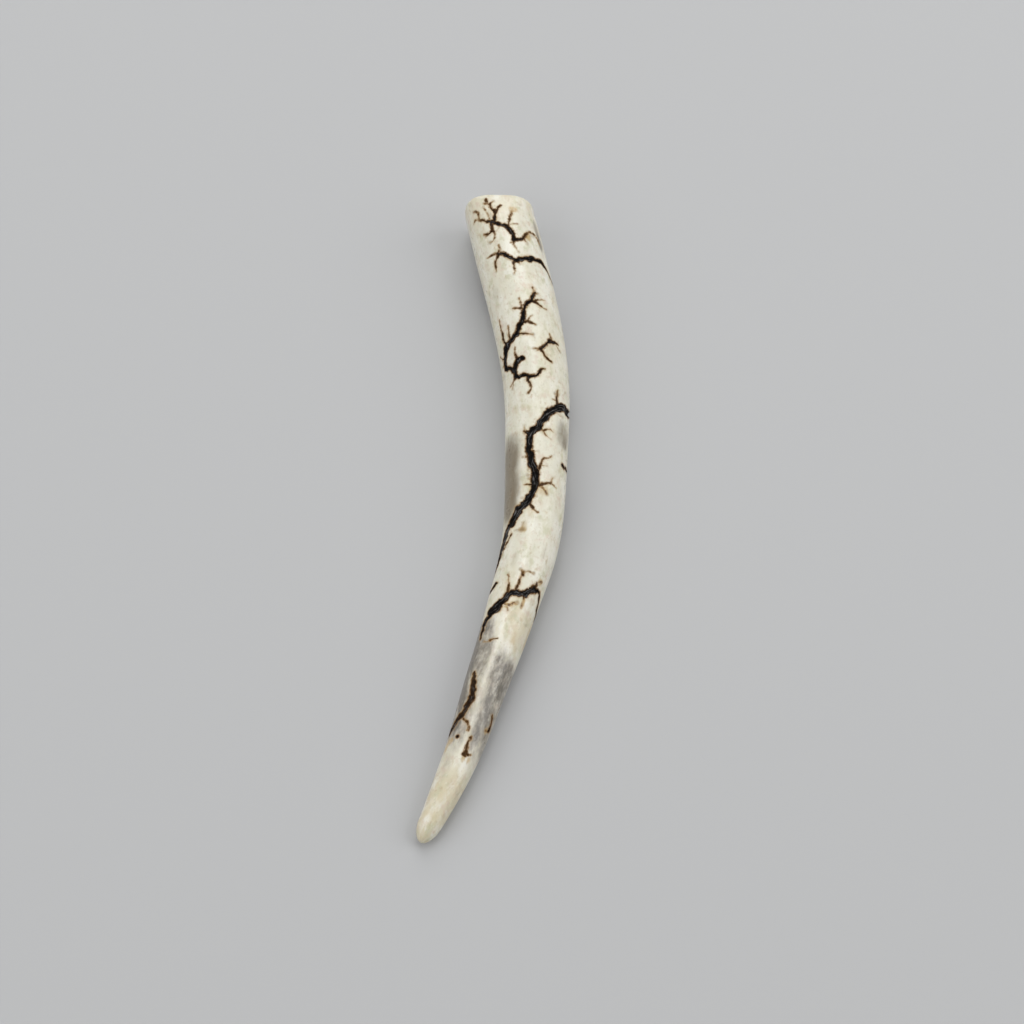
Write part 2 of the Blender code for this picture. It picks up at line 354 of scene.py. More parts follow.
branch(0.75, 0.6, 0.3, (20.3, -3), (21.5, -4), (22.9, -5), (23.8, -8))
branch(0.35, 0.4, 0.3, (20.6, 2), (21.5, 5))

# %% [markdown]
# The tree leans along the crest with twigs on both sides, doubles back in a hook, and ends in a
# root with two toes. A small sprig stands beside it.

# %% Burns of the tree and its sprig
trunk(1.0, (29.4, 19, 0.5), (30.4, 14, 0.55), (31.5, 10, 0.7), (31.9, 5, 0.8), (32.9, -1, 0.8),
      (33.8, -6, 0.95), (35.0, -9, 1.05), (36.7, -15, 1.15), (38.1, -21, 1.15), (39.4, -27, 1.2),
      (40.2, -38, 1.2), (40.6, -47, 1.4), (41.4, -52, 1.8), (42.7, -56, 1.4), (44.1, -61, 1.15),
      (45.4, -63, 1.15), (46.8, -62, 1.15), (47.3, -55, 1.1), (47.9, -47, 1.1), (48.7, -41, 1.2),
      (50.2, -38, 1.1), (50.6, -33, 0.9), (50.4, -27, 0.8), (50.6, -20, 0.75), (51.0, -15, 0.75),
      (51.2, -8, 0.7), (51.0, -1, 0.6), (50.2, 5, 0.5), (49.5, 9, 0.4), (49.3, 16, 0.3))
branch(0.5, 0.5, 0.4, (29.4, 19), (28.1, 18))
branch(0.6, 0.5, 0.3, (29.6, 18), (29.7, 24))
branch(0.8, 0.5, 0.3, (31.6, 12), (31.6, 20), (31.5, 27), (31.2, 36))
branch(0.85, 0.6, 0.35, (31.7, 12), (32.3, 20), (32.9, 25), (33.8, 34))
branch(0.85, 0.6, 0.35, (33.7, -7), (33.1, -11), (32.7, -17), (32.5, -23))
branch(0.5, 0.6, 0.35, (33.6, -8), (32.4, -9), (31.7, -9), (30.4, -9))
branch(0.9, 0.7, 0.5, (36.5, -12), (36.9, -8), (36.7, -3))
branch(0.8, 0.5, 0.3, (36.7, -3), (37.5, 3), (37.9, 9))
branch(0.5, 0.4, 0.3, (36.7, -3), (35.9, 1), (35.6, 6))
branch(0.85, 0.5, 0.3, (39.5, -24), (39.7, -18), (39.7, -11), (40.2, -4), (40.4, 1))
branch(0.9, 0.8, 0.35, (40.6, -53), (39.7, -55), (38.5, -57), (37.3, -55), (36.0, -57), (33.5, -56))
branch(0.8, 0.6, 0.35, (40.4, -41), (38.5, -41), (36.4, -39))
branch(0.9, 0.8, 0.35, (44.0, -62), (43.6, -66), (43.1, -71), (42.2, -77))
branch(0.6, 0.6, 0.3, (45.4, -64), (45.6, -72))
branch(0.85, 0.6, 0.35, (50.3, -38), (51.0, -43), (51.6, -47), (52.2, -53))
branch(0.5, 0.4, 0.3, (51.7, -47), (53.1, -49))
branch(0.9, 0.7, 0.4, (51.0, -15), (52.2, -15), (53.1, -11), (54.3, -11), (55.3, -16))
trunk(1.0, (48.6, -41, 1.2), (47.7, -37, 1.2), (46.8, -36, 1.0), (46.4, -30, 1.35),
      (46.3, -25, 1.4), (46.3, -22, 0.8))
branch(0.8, 0.8, 0.35, (46.3, -31), (45.6, -33), (44.7, -36), (43.7, -36), (42.7, -35))
trunk(0.95, (44.2, 12, 0.8), (43.3, 19, 0.6), (42.5, 26, 0.7), (42.0, 33, 1.0), (42.1, 41, 0.7),
      (42.4, 49, 0.4))
branch(0.5, 0.5, 0.3, (44.2, 12), (44.1, 7), (44.1, -1))
branch(0.4, 0.4, 0.3, (44.3, 9), (44.7, 3))
branch(0.8, 0.6, 0.35, (44.3, 12), (45.4, 16), (46.4, 20), (47.0, 25), (47.4, 30))
branch(0.7, 0.6, 0.3, (42.0, 35), (41.0, 35), (40.2, 32))
branch(0.5, 0.4, 0.3, (42.4, 44), (43.3, 47), (43.9, 53))

# %% [markdown]
# The river is the widest burn. It starts underneath, comes up over the outer side of the bend,
# runs down the crest and goes under again on the inner side.

# %% Burns of the river
trunk(1.0, (40.5, 168, 0.7), (43.0, 158, 1.1), (46.0, 150, 1.3), (52.0, 128, 1.5),
      (56.4, 104, 1.7), (57.7, 87, 1.7), (58.3, 71, 1.7), (58.0, 59, 1.7), (57.9, 49, 1.75),
      (58.3, 41, 1.75), (59.2, 31, 1.65), (60.2, 21, 1.55), (61.4, 15, 1.45), (62.7, 9, 1.4),
      (64.1, 1, 1.35), (65.2, -8, 1.45), (66.0, -13, 1.45), (67.7, -16, 1.45), (69.8, -16, 1.5),
      (71.8, -11, 1.55), (74.5, -5, 1.6), (76.6, -1, 1.6), (78.2, 0, 1.65), (79.9, -4, 1.65),
      (81.6, -9, 1.6), (83.2, -18, 1.6), (84.7, -29, 1.65), (86.2, -37, 1.7), (87.4, -43, 1.7),
      (88.4, -51, 1.4), (90.0, -60, 1.1), (92.3, -66, 1.05), (94.8, -71, 1.0), (97.4, -76, 1.0),
      (100.0, -84, 1.2), (103.5, -101, 1.4), (108.0, -124, 1.2), (112.0, -142, 0.7))
trunk(0.98, (87.6, -44, 1.2), (89.4, -52, 1.0), (91.4, -57, 0.9), (93.6, -61, 0.8), (95.6, -64.5, 0.75),
      (97.6, -69, 0.65), (99.4, -77, 0.5))
branch(1.0, 1.2, 0.6, (65.6, -14), (65.4, -19), (65.1, -24))
branch(0.35, 0.5, 0.3, (65.1, -23), (63.5, -24))
branch(0.8, 0.75, 0.35, (58.0, 41), (56.9, 38), (56.0, 38), (55.0, 40), (54.1, 41))
branch(0.5, 0.4, 0.3, (56.8, 37), (56.7, 29))
branch(0.4, 0.4, 0.3, (55.4, 39), (55.2, 34))
branch(0.3, 0.4, 0.3, (59.9, 38), (60.2, 46), (60.4, 52))
branch(0.7, 0.6, 0.4, (64.3, 3), (64.5, 6), (65.0, 12))
branch(0.6, 0.45, 0.3, (65.0, 12), (64.5, 19), (64.4, 25), (64.9, 31))
branch(0.65, 0.45, 0.3, (65.0, 12), (65.8, 15), (66.4, 20), (66.8, 26))
branch(0.3, 0.6, 0.3, (70.2, -8), (70.2, 3))
branch(0.3, 0.6, 0.3, (71.4, -18), (71.5, -27))
branch(0.75, 0.5, 0.3, (75.6, 2), (75.0, 6), (73.5, 9), (72.3, 11), (71.8, 15), (71.7, 23), (71.0, 29))
branch(0.5, 0.4, 0.3, (73.7, 9), (73.7, 21))
for along, reach_up in ((74.1, -15), (74.8, -16), (75.4, -15), (76.1, -17), (76.8, -13), (77.3, -14)):
    branch(0.55, 0.26, 0.2, (along, -9), (along - 0.1, reach_up))
branch(0.8, 0.7, 0.3, (78.4, -5), (78.5, -14), (78.5, -22))
branch(0.4, 0.5, 0.3, (82.5, -16), (81.8, -26))
branch(0.65, 0.8, 0.35, (78.7, 5), (78.0, 15), (77.8, 25), (77.8, 31), (78.0, 37), (78.3, 43))
branch(0.5, 0.45, 0.3, (77.8, 30), (77.2, 31), (76.2, 34))
branch(0.30, 0.55, 0.4, (78.8, 5), (79.3, 15), (80.1, 21), (80.5, 24))
branch(0.4, 0.5, 0.3, (81.2, -4), (81.5, 3))
branch(0.75, 0.6, 0.4, (83.0, -12), (83.9, -3), (84.9, 3), (85.3, 9))
branch(0.62, 0.45, 0.4, (90.7, -41), (92.0, -46), (93.4, -52), (95.0, -57), (96.6, -62))

# %% [markdown]
# Below the river come the fork, a fine crack, a deep crack near the tip with a few amber burns
# beside it, and short marks that come round from underneath.

# %% Burns towards the tip
trunk(1.0, (116.5, -53, 0.4), (115.3, -55, 0.8), (113.6, -56, 1.0), (112.2, -53, 1.3),
      (111.1, -47, 1.5), (110.1, -40, 2.0), (109.2, -33, 2.4), (107.8, -25, 1.8),
      (106.8, -17, 1.3), (105.8, -10, 1.3), (105.1, -4, 1.1), (104.9, 5, 1.2), (104.7, 15, 0.9),
      (104.3, 25, 1.3), (103.3, 34, 1.1), (102.4, 43, 1.3), (102.1, 53, 1.0), (102.4, 62, 0.9),
      (103.6, 69, 0.8), (105.2, 77, 0.6), (106.4, 88, 0.8), (108.5, 100, 1.2), (112.0, 120, 1.2),
      (120.0, 138, 0.6))
branch(0.95, 1.0, 0.5, (102.6, 40), (101.6, 41), (100.9, 44))
branch(0.22, 0.7, 0.5, (100.9, 44), (100.4, 50), (100.0, 56))
branch(0.9, 0.8, 0.5, (103.3, 34), (102.4, 35), (101.7, 36))
branch(0.55, 0.5, 0.35, (105.2, -12), (103.7, -18), (102.4, -21), (101.2, -24), (100.9, -27))
branch(0.68, 0.55, 0.45, (105.0, -3), (103.2, 0), (101.6, 3), (99.9, 6))
branch(0.62, 0.7, 0.4, (100.3, 5), (99.5, 6))
branch(0.35, 0.4, 0.3, (99.9, 5), (99.4, 1), (99.2, -3))
branch(0.40, 0.4, 0.3, (99.8, 6), (99.3, 11), (99.2, 19), (99.2, 28))
branch(0.20, 0.45, 0.4, (107.6, -18), (108.0, -12), (107.8, -1), (107.0, 9), (106.8, 14))
branch(0.24, 0.45, 0.4, (107.9, -14), (108.5, -6), (109.1, -1))
branch(0.27, 0.6, 0.5, (104.8, 25), (106.2, 26), (107.4, 27))
trunk(0.9, (102.9, -50, 0.4), (103.0, -56, 0.8), (103.8, -64, 0.9), (104.4, -74, 1.0),
      (104.6, -88, 0.9), (104.4, -100, 0.5))
branch(0.85, 0.36, 0.4, (116.0, -4), (116.3, -13), (116.8, -20))
branch(0.40, 0.30, 0.3, (116.8, -20), (117.2, -29), (117.2, -38))
trunk(0.80, (124.4, -38, 0.4), (125.6, -35, 1.0), (127.4, -29, 1.2), (129.4, -24, 1.25),
      (131.0, -22, 1.35), (132.6, -29, 1.25), (134.5, -40, 1.25), (136.2, -52, 1.3),
      (138.0, -68, 1.25), (138.8, -78, 1.1), (139.4, -92, 1.1), (139.0, -108, 1.1),
      (136.0, -122, 0.9), (132.0, -134, 0.5))
branch(0.48, 0.5, 0.6, (135.4, -26), (135.6, -18), (136.0, -9), (136.8, -4), (137.7, -2))
trunk(0.9, (139.4, -30, 0.3), (139.5, -27, 0.6), (139.6, -24, 0.3))
trunk(0.4, (138.7, 16, 0.3), (139.2, 13, 0.6), (139.7, 11, 0.4))
trunk(0.66, (139.7, 11, 0.4), (140.8, 12, 0.7), (141.8, 14, 0.5), (142.8, 16, 0.8), (143.0, 18, 0.5))
branch(0.6, 0.6, 0.5, (142.8, 17), (142.6, 26), (142.3, 35))
branch(0.6, 0.5, 0.5, (132.4, 58), (133.3, 63), (134.7, 68))
trunk(0.95, (134.7, 69, 0.4), (135.4, 69, 0.8), (135.8, 65, 0.4))
branch(0.35, 0.5, 0.5, (135.7, 63), (136.1, 53))
trunk(1.0, (72.1, 55, 0.5), (72.2, 60, 1.0), (72.4, 65, 0.4))
trunk(1.0, (72.0, 70, 0.4), (72.2, 74, 0.8), (72.4, 79, 0.6), (72.0, 85, 0.5), (71.9, 92, 0.8),
      (72.4, 99, 1.1), (76.0, 116, 1.3), (82.0, 130, 1.5), (86.0, 156, 1.3), (92.0, 172, 1.0),
      (99.0, 184, 0.5))
trunk(1.0, (9.2, -103, 0.5), (11.0, -110, 1.0), (15.5, -121, 1.3), (21.5, -133, 1.4),
      (24.5, -150, 1.3), (22.5, -170, 0.9), (18.0, -184, 0.5))
HAND_LAID = len(BURNS)
print("burned lines laid by hand:", HAND_LAID)

# %% [markdown]
# ## Twigs that grow by rule
#
# The side that lies down has burns too, and twigs there can grow by rule. A current takes the
# easiest way for its next short step, and now and then it splits in two. So a twig walks in short
# steps, wanders a little, gets thinner, and sends off smaller twigs of its own.

# %% Grow twigs on the hidden side
STEP = 0.8             # millimetres
HIDDEN_BEYOND = 104    # degrees from the crest, either way
WANDER_DEG = 17        # a step's usual turn
FORK_CHANCE = 0.34     # at each step
FINEST = 0.3           # millimetres wide
BUTT_FREE, TIP_FREE = 3, 14    # millimetres at the two ends that no grown twig enters
TWIGS_APART = 2.2      # millimetres between the twigs of a wide line
dice = random.Random(7)


def half_width_at(along):
    """The form's half width on the average round a section."""
    return float(np.interp(along, FORM_ALONG, FORM_WAVES[:, 0].real))


def hidden(around):
    """Is a place, in degrees from the crest, on the side that lies down?"""
    return abs((around + 180) % 360 - 180) > HIDDEN_BEYOND


def grow(along, around, heading_deg, length, width, black):
    """Lets a twig walk from a place in a direction, 0 towards the tip and 90 round the tine."""
    places = [(along, around, width, black)]
    walked = 0.0
    while walked < length and hidden(around) and BUTT_FREE < along < LENGTH - TIP_FREE:
        heading_deg += dice.gauss(0, WANDER_DEG)
        along += STEP * math.cos(math.radians(heading_deg))
        around += math.degrees(STEP * math.sin(math.radians(heading_deg)) / half_width_at(along))
        walked += STEP
        left = max(1 - walked / length, 0.0)
        width_here = max(width * (0.35 + 0.65 * left), FINEST)
        places.append((along, around, width_here, black * (0.45 + 0.55 * left)))
        if walked > 0.2 * length and length - walked > 1.6 and dice.random() < FORK_CHANCE:
            side = dice.choice((-1, 1))
            grow(along, around, heading_deg + side * dice.uniform(35, 65),
                 (length - walked) * dice.uniform(0.35, 0.7), width * 0.6, black * 0.85)
    if len(places) > 1:
        BURNS.append(places)


def leg(start, end):
    """How far along and how far round, in millimetres, one place is from another."""
    return end[0] - start[0], math.radians(end[1] - start[1]) * half_width_at(start[0])


for places in list(BURNS):
    for start, end in zip(places, places[1:]):
        ahead = math.degrees(math.atan2(leg(start, end)[1], leg(start, end)[0]))
        for _ in range(int(math.hypot(*leg(start, end)) / TWIGS_APART + dice.random())):
            t, side = dice.random(), dice.choice((-1, 1))
            along, around = (start[i] + (end[i] - start[i]) * t for i in (0, 1))
            if start[2] > 0.8 and hidden(around):
                grow(along, around, ahead + side * dice.uniform(45, 75),
                     dice.uniform(2.5, 9.0), dice.uniform(0.45, 0.8), 0.8)
for along, around, heading_deg, length in (
        (111, -142, 20, 12), (39, 142, 40, 8), (120, 138, 20, 9), (129, -128, -150, 9),
        (99, 184, 10, 8), (40.5, 168, 200, 8), (18, -184, 150, 7)):
    grow(along, around, heading_deg, length, 0.8, 0.9)
print("burned lines with the grown ones:", len(BURNS))

# %% [markdown]
# No burn has a straight side. Every line is cut into short pieces that sway off their course and
# swell and shrink a little, each following from the one before it, as the current wandered.

# %% Roughen the lines
RAGGED_STEP = 0.42   # millimetres
SWAY, SWAY_WIDE = 0.03, 0.055    # millimetres, and so much more for each millimetre of width
SWELL = 0.13         # of the width
MOST_SWELL, LESS_WIDE = 0.28, 0.09    # of the width, and less by this for each millimetre of it
KEPT = 0.6           # a line's share of sway and swell that goes on into its next piece


def ragged(places):
    """The same line in short pieces, none of them quite straight or of even width."""
    line = [places[0]]
    sway = swell = 0.0
    for start, end in zip(places, places[1:]):
        ahead, aside = leg(start, end)
        length = math.hypot(ahead, aside)
        turn = math.degrees(1 / half_width_at(start[0]))
        count = max(1, round(length / RAGGED_STEP))
        for k in range(1, count + 1):
            along, around, width, black = (v0 + (v1 - v0) * k / count for v0, v1 in zip(start, end))
            sway = KEPT * sway + dice.gauss(0, SWAY + SWAY_WIDE * width)
            swell = KEPT * swell + dice.gauss(0, SWELL)
            most = MOST_SWELL - LESS_WIDE * width
            line.append((along - sway * aside / length, around + sway * ahead / length * turn,
                         width * (1 + max(min(swell, most), -most)), black))
    return line


BURNS = [ragged(places) for places in BURNS]

# %% [markdown]
# The edges of every black burn are fringed with tiny brown spikes, where the current tried a way
# and gave up. They are what makes a burn look burned and not painted. They come in crowds, with
# clean stretches between them.

# %% Fringe of spikes
SPIKES_PER_MM = 1.8
CROWD = 2.2                  # millimetres
FRINGED_BLACK, FRINGED_WIDTH = 0.8, 0.7    # paler and finer burns have no fringe
SPIKE_LEANS = (45, 110)      # degrees from the burn's own way
SPIKE_REACH = (0.12, 0.40)   # millimetres past the burn's edge
LONG_SPIKE = 0.5             # and now and then up to this much more
SPIKE_ROOT, SPIKE_POINT = (0.40, 0.75), (0.12, 0.35)    # width and blackness

for number, places in enumerate(list(BURNS)):
    run = 0.0
    for start, end in zip(places, places[1:]):
        ahead, aside = leg(start, end)
        length = math.hypot(ahead, aside)
        run += length
        for side in (-1, 1):
            crowd = 0.45 + 1.1 * noise.noise(Vector((run / CROWD, number * 7.3, side * 3.1)))
            bare = start[3] < FRINGED_BLACK or start[2] < FRINGED_WIDTH
            if bare or dice.random() > crowd * SPIKES_PER_MM * length:
                continue
            out = math.atan2(aside, ahead) + side * math.radians(dice.uniform(*SPIKE_LEANS))
            spike = start[2] / 2 + dice.uniform(*SPIKE_REACH) + LONG_SPIKE * dice.random() ** 4
            turn = math.degrees(1 / half_width_at(start[0]))
            BURNS.append([
                (start[0], start[1], *SPIKE_ROOT),
                (start[0] + spike * math.cos(out), start[1] + spike * math.sin(out) * turn, *SPIKE_POINT),
            ])
print("with the fringe:", len(BURNS))

# %% [markdown]
# ## How far is a place from the burns?
#
# The carving and the colours ask the same things of every point of the skin: how far is the
# nearest burned line's edge, how black is that line, how much heat reached here, and how far
# along the line and across it is the place. One helper answers for many points at once. It walks
# through the lines piece by piece and looks only at the points near each piece.

# %% Distance to the burns
REACH = 2.2    # millimetres: further than this, a burn has no effect
HEATS = ((0.75, 0.26), (0.25, 0.80))    # strength at a burn's edge, and millimetres of fading
FULL_HEAT = 0.22    # millimetres: a line of less than this half width gives less heat
HALF_ROUND = 5.0    # millimetres: half of the tine's half width is less everywhere
ANSWERS = ("edge", "black", "half", "heat", "run", "across", "line")


def burn_pieces():
    """Start, end and values of every straight piece of the burned lines, and how far along it is."""
    rows = []
    for number, places in enumerate(BURNS):
        run = 0.0
        for start, end in zip(places, places[1:]):
            rows.append((*start, *end, run, number))
            run += math.hypot(*leg(start, end))
    return np.array(rows)


PIECES = burn_pieces()
print("straight pieces:", len(PIECES))


def burn_field(along, angle):
    """What the burns do at each place: a row of numbers for each of the answers."""
    order = np.argsort(along)
    a, t = along[order], angle[order]
    size = form_size(a, t)
    field = {name: np.zeros(len(a)) for name in ANSWERS}
    field["edge"] -= REACH
    for a0, r0, w0, b0, a1, r1, w1, b1, run, line in PIECES:
        first, last = np.searchsorted(a, [min(a0, a1) - REACH, max(a0, a1) + REACH])
        here = slice(first, last)
        mid = math.radians((r0 + r1) / 2)
        off = (t[here] - mid + np.pi) % (2 * np.pi) - np.pi
        near = np.flatnonzero(np.abs(off) * size[here] < REACH + abs(math.radians(r1 - r0)) * HALF_ROUND)
        if len(near) == 0:
            continue
        s = size[here][near]
        x, y = a[here][near] - a0, (off[near] + mid - math.radians(r0)) * s
        dx, dy = a1 - a0, math.radians(r1 - r0) * s
        length = np.hypot(dx, dy)
        part = np.clip((x * dx + y * dy) / length ** 2, 0, 1)
        away = np.hypot(x - part * dx, y - part * dy)
        half = (w0 + (w1 - w0) * part) / 2
        black = b0 + (b1 - b0) * part
        inside = half - away
        outside = np.maximum(-inside, 0)
        heat = sum(strength * np.exp(-outside / fade) for strength, fade in HEATS)
        heat = heat * (0.6 + 0.4 * black) * np.minimum(half / FULL_HEAT, 1)
        spot = first + near
        field["heat"][spot] = np.maximum(field["heat"][spot], heat)
        nearer = inside > field["edge"][spot]
        answers = {"edge": inside, "black": black, "half": half, "run": run + part * length,
                   "across": (x * dy - y * dx) / length, "line": np.full(len(s), line)}
        for name, values in answers.items():
            field[name][spot[nearer]] = values[nearer]
    back = np.empty_like(order)
    back[order] = np.arange(len(order))
    return {name: values[back] for name, values in field.items()}


# %% [markdown]
# ## The skin
#
# The skin starts as a tube of plain rings with a flat end. It would take millions of faces to be
# fine everywhere, and only the burns need that. So edges are cut in half where they are near the
# burns, again and again, until they are about a sixth of a millimetre there.

# %% Plain rings
RING_STEP = 0.85    # millimetres
AROUND = 64
RIM_RINGS, CUT_RINGS, NOSE_RINGS = 8, 9, 9
SPLIT = 82.0        # a ring lies here exactly: the map of the skin is cut in two at it
SAME = 1e-6         # millimetres: nearer than this is the same place


def ring_places():
    """How far from the cut the rings of the sides lie, close together on the rounded ends."""
    rim = [RIM * (1 - math.cos(math.pi / 2 * k / RIM_RINGS)) for k in range(RIM_RINGS + 1)]
    first = np.linspace(RIM, SPLIT, round((SPLIT - RIM) / RING_STEP))[1:]
    second = np.linspace(SPLIT, LENGTH - NOSE, round((LENGTH - NOSE - SPLIT) / RING_STEP))[1:]
    turns = [math.pi / 2 * k / NOSE_RINGS for k in range(1, NOSE_RINGS)]
    nose = [LENGTH - NOSE + NOSE * math.sin(turn) for turn in turns]
    return np.concatenate([rim, first, second, nose])


def build_rings():
    """Vertices hold (along, sideways, upwards) on the unit circle; on the cut they lie inside it."""
    mesh = bmesh.new()
    along_layer = mesh.verts.layers.float.new("along")
    side_layer = mesh.verts.layers.float.new("side")
    crest_layer = mesh.verts.layers.float.new("crest")

    def vertex(along, turn, spread):
        made = mesh.verts.new((along, math.sin(turn) * spread, math.cos(turn) * spread))
        made[along_layer], made[side_layer], made[crest_layer] = along, made.co.y, made.co.z
        return made

    turns = [2 * math.pi * k / AROUND - math.pi for k in range(AROUND)]
    cut = [[vertex(0.0, turn, k / CUT_RINGS) for turn in turns] for k in range(1, CUT_RINGS)]
    rings = cut + [[vertex(along, turn, 1.0) for turn in turns] for along in ring_places()]
    middle_of_cut = vertex(0.0, 0.0, 0.0)
    tip = vertex(LENGTH, 0.0, 0.0)
    for ring, after in zip(rings, rings[1:]):
        for k in range(AROUND):
            n = (k + 1) % AROUND
            mesh.faces.new((ring[k], ring[n], after[n], after[k]))
    for k in range(AROUND):
        n = (k + 1) % AROUND
        mesh.faces.new((middle_of_cut, rings[0][n], rings[0][k]))
        mesh.faces.new((tip, rings[-1][k], rings[-1][n]))
    bmesh.ops.triangulate(mesh, faces=mesh.faces)
    return mesh


def read_layers(mesh):
    """Along, angle and spread of every vertex."""
    names = ("along", "side", "crest")
    layers = [mesh.verts.layers.float[name] for name in names]
    rows = np.array([[v[layer] for layer in layers] for v in mesh.verts])
    along, side, crest = rows.T
    radius = np.hypot(side, crest)
    spread = np.where((along > SAME) & (along < LENGTH - SAME), 1.0, radius)
    return along, np.arctan2(side, crest), spread


skin = build_rings()
print("plain rings:", len(skin.faces), "triangles")

# %% [markdown]
# An edge is cut when it is longer than the place deserves. Beside a burn that is a sixth of a
# millimetre, and it grows with the distance from it. The cut end gets a closer net as well, for
# the pores of its spongy core.

# %% Finer near the burns
FINE, COARSE = 0.17, 0.95    # millimetres
FINE_WITHIN = 0.25    # millimetres from a burn's edge
GROWTH = 0.55         # how much longer an edge may be for each millimetre past that
CORE = 0.62           # the spongy core's share of the cut's width
CORE_MARGIN = 0.12    # past it the net is as close, because its edge wanders
CORE_FINE = 0.16      # millimetres, on the spongy core
TOO_LONG = 1.35       # times the length allowed
ROUNDS = 4

for cut_round in range(ROUNDS):
    along, angle, spread = read_layers(skin)
    points = skin_points(along, angle, spread)
    skin.verts.ensure_lookup_table()
    ends = np.array([[e.verts[0].index, e.verts[1].index] for e in skin.edges])
    lengths = np.linalg.norm(points[ends[:, 0]] - points[ends[:, 1]], axis=1)
    edge = burn_field(along, angle)["edge"]
    closest = np.maximum(edge[ends[:, 0]], edge[ends[:, 1]])
    away = np.maximum(np.abs(closest) - FINE_WITHIN, 0)
    allowed = np.minimum(FINE + GROWTH * away, COARSE)
    on_cut = (along[ends] < SAME).all(axis=1)
    in_core = on_cut & (spread[ends].mean(axis=1) < CORE + CORE_MARGIN)
    allowed[on_cut] = COARSE
    allowed[in_core] = CORE_FINE
    chosen = np.flatnonzero(lengths > allowed * TOO_LONG)
    skin.edges.ensure_lookup_table()
    bmesh.ops.subdivide_edges(skin, edges=[skin.edges[i] for i in chosen], cuts=1)
    bmesh.ops.triangulate(skin, faces=[f for f in skin.faces if len(f.verts) > 3])
    skin.verts.index_update()
    print("cut", cut_round + 1, "->", len(skin.faces), "triangles")

# %% [markdown]
# ## Carving
#
# A burn is a round-bottomed groove, a third as deep as it is wide. Its edges are torn, so two
# noises push them in and out. Its bed is char that cracked into fibres along the burn, so the
# noise that shapes the bed is drawn in the burn's own directions, long along it and short
# across. The skin itself is not perfect either: sanding leaves long low flats, and a few of the
# antler's own gutters still show. Everything is cut inwards, because a saw and sandpaper only
# take away.

# %% Carve the skin
DEPTH = 0.30                           # of a burn's width
SHALLOW_BROWN = 0.35                   # a burn that is hardly black has this share of the depth
FIBRE = (1.3, 0.26)                    # millimetres along and across
TORN = ((0.95, 0.10), (0.42, 0.07))    # size of the lumps of a torn edge, and how far they reach
BED, CINDERS = 0.10, 0.05              # millimetres of the bed's fibres, and of its lumps
GUTTER, FLAT = 0.02, 0.045             # and of the antler's gutters and the sanded flats
FULL_TEAR = 0.6                        # millimetres of half width from which an edge tears in full
along, angle, spread = read_layers(skin)
points = skin_points(along, angle, spread)
on_side = (along > SAME) & (along < LENGTH - SAME)
field = burn_field(along, angle)
half = field["half"]

for vertex, place in zip(skin.verts, points):
    vertex.co = place
skin.normal_update()
bmesh.ops.recalc_face_normals(skin, faces=skin.faces)
skin.normal_update()
normals = np.array([v.normal for v in skin.verts])
print("upwards on the crest:", round(float(normals[points[:, 2].argmax(), 2]), 2))


def noise_at(places, scale, seed):
    """Smooth noise from -1 to 1, one lump about scale millimetres long."""
    return np.array([noise.noise(Vector(p) / scale + Vector((seed, 0, 0))) for p in places])


tears = sum(noise_at(points, lump, 5.0 + lump) * reach for lump, reach in TORN)
torn = tears * np.clip(half / FULL_TEAR, 0.15, 1)
torn_edge = field["edge"] + torn
bowl = smooth_step(torn_edge / np.maximum(half * 0.9, 0.05))
depth = DEPTH * 2 * half * bowl * (SHALLOW_BROWN + (1 - SHALLOW_BROWN) * field["black"])
fibres = np.stack([field["run"] / FIBRE[0], field["across"] / FIBRE[1], field["line"] * 3.7], -1)
bed = noise_at(fibres, 1.0, 31.0) * BED
bed = bed + np.maximum(noise_at(points, 0.45, 37.0), -0.3) * CINDERS
bed = bed * bowl * np.clip(half / 0.5, 0, 1.2)
stretched = np.stack([along / 14, np.sin(angle) * 4, np.cos(angle) * 4], -1)
gutters = (noise_at(stretched, 1.6, 11.0) - 0.6) * GUTTER
flats = (noise_at(stretched, 3.1, 23.0) - 0.6) * FLAT
ends_kept = smooth_step(along / 6) * smooth_step((LENGTH - along) / 10)
lift = np.minimum((gutters + flats) * ends_kept + bed - depth, 0)
points = points + normals * (lift * on_side)[:, None]
print("deepest burn, mm:", round(float(depth.max()), 2))

# %% [markdown]
# ## The sawn end
#
# A tine is compact bone outside and spongy inside. On the cut, the compact wall is smooth and
# the core is a net of small holes. The holes are real dents: a honeycomb of places is shaken out
# of order, each gets a hole of its own size, and noise pulls the holes out of round. They get
# smaller and fewer towards the wall.

# %% Pores of the core
PORE_DEPTH = 0.30          # millimetres
PORE_GAP = 0.72            # millimetres between neighbours
ROW_GAP = 0.87             # of that, from row to row, as in a honeycomb
SHAKEN = 0.3               # of the gap, either way
PORE_SIZES = (0.16, 0.46)  # of the gap, from a pore's middle to its edge
CORE_FADE = 0.24           # of the cut's width, from sponge to compact wall
PORE_SLOPE = 0.16          # millimetres
PORE_BEND = 0.22           # millimetres that noise pulls a pore's edge about
SAW_MARK = 0.012           # millimetres
on_cut = along < SAME
core_wall = CORE + 0.08 * noise_at(points, 3.5, 53.0) + 0.06 * noise_at(points, 0.8, 61.0)
core_edge = smooth_step((core_wall - spread) / CORE_FADE)
pores = np.zeros(len(points))
face = np.flatnonzero(on_cut & (spread < CORE + 0.15))
bend = np.stack([noise_at(points[face], 0.55, seed) for seed in (41.0, 47.0)], -1) * PORE_BEND
on_face = points[face][:, [0, 2]] - np.array([LINE[0, 0], LINE[0, 2]]) + bend
rows = round(section_width * CORE / 2 / PORE_GAP) + 1
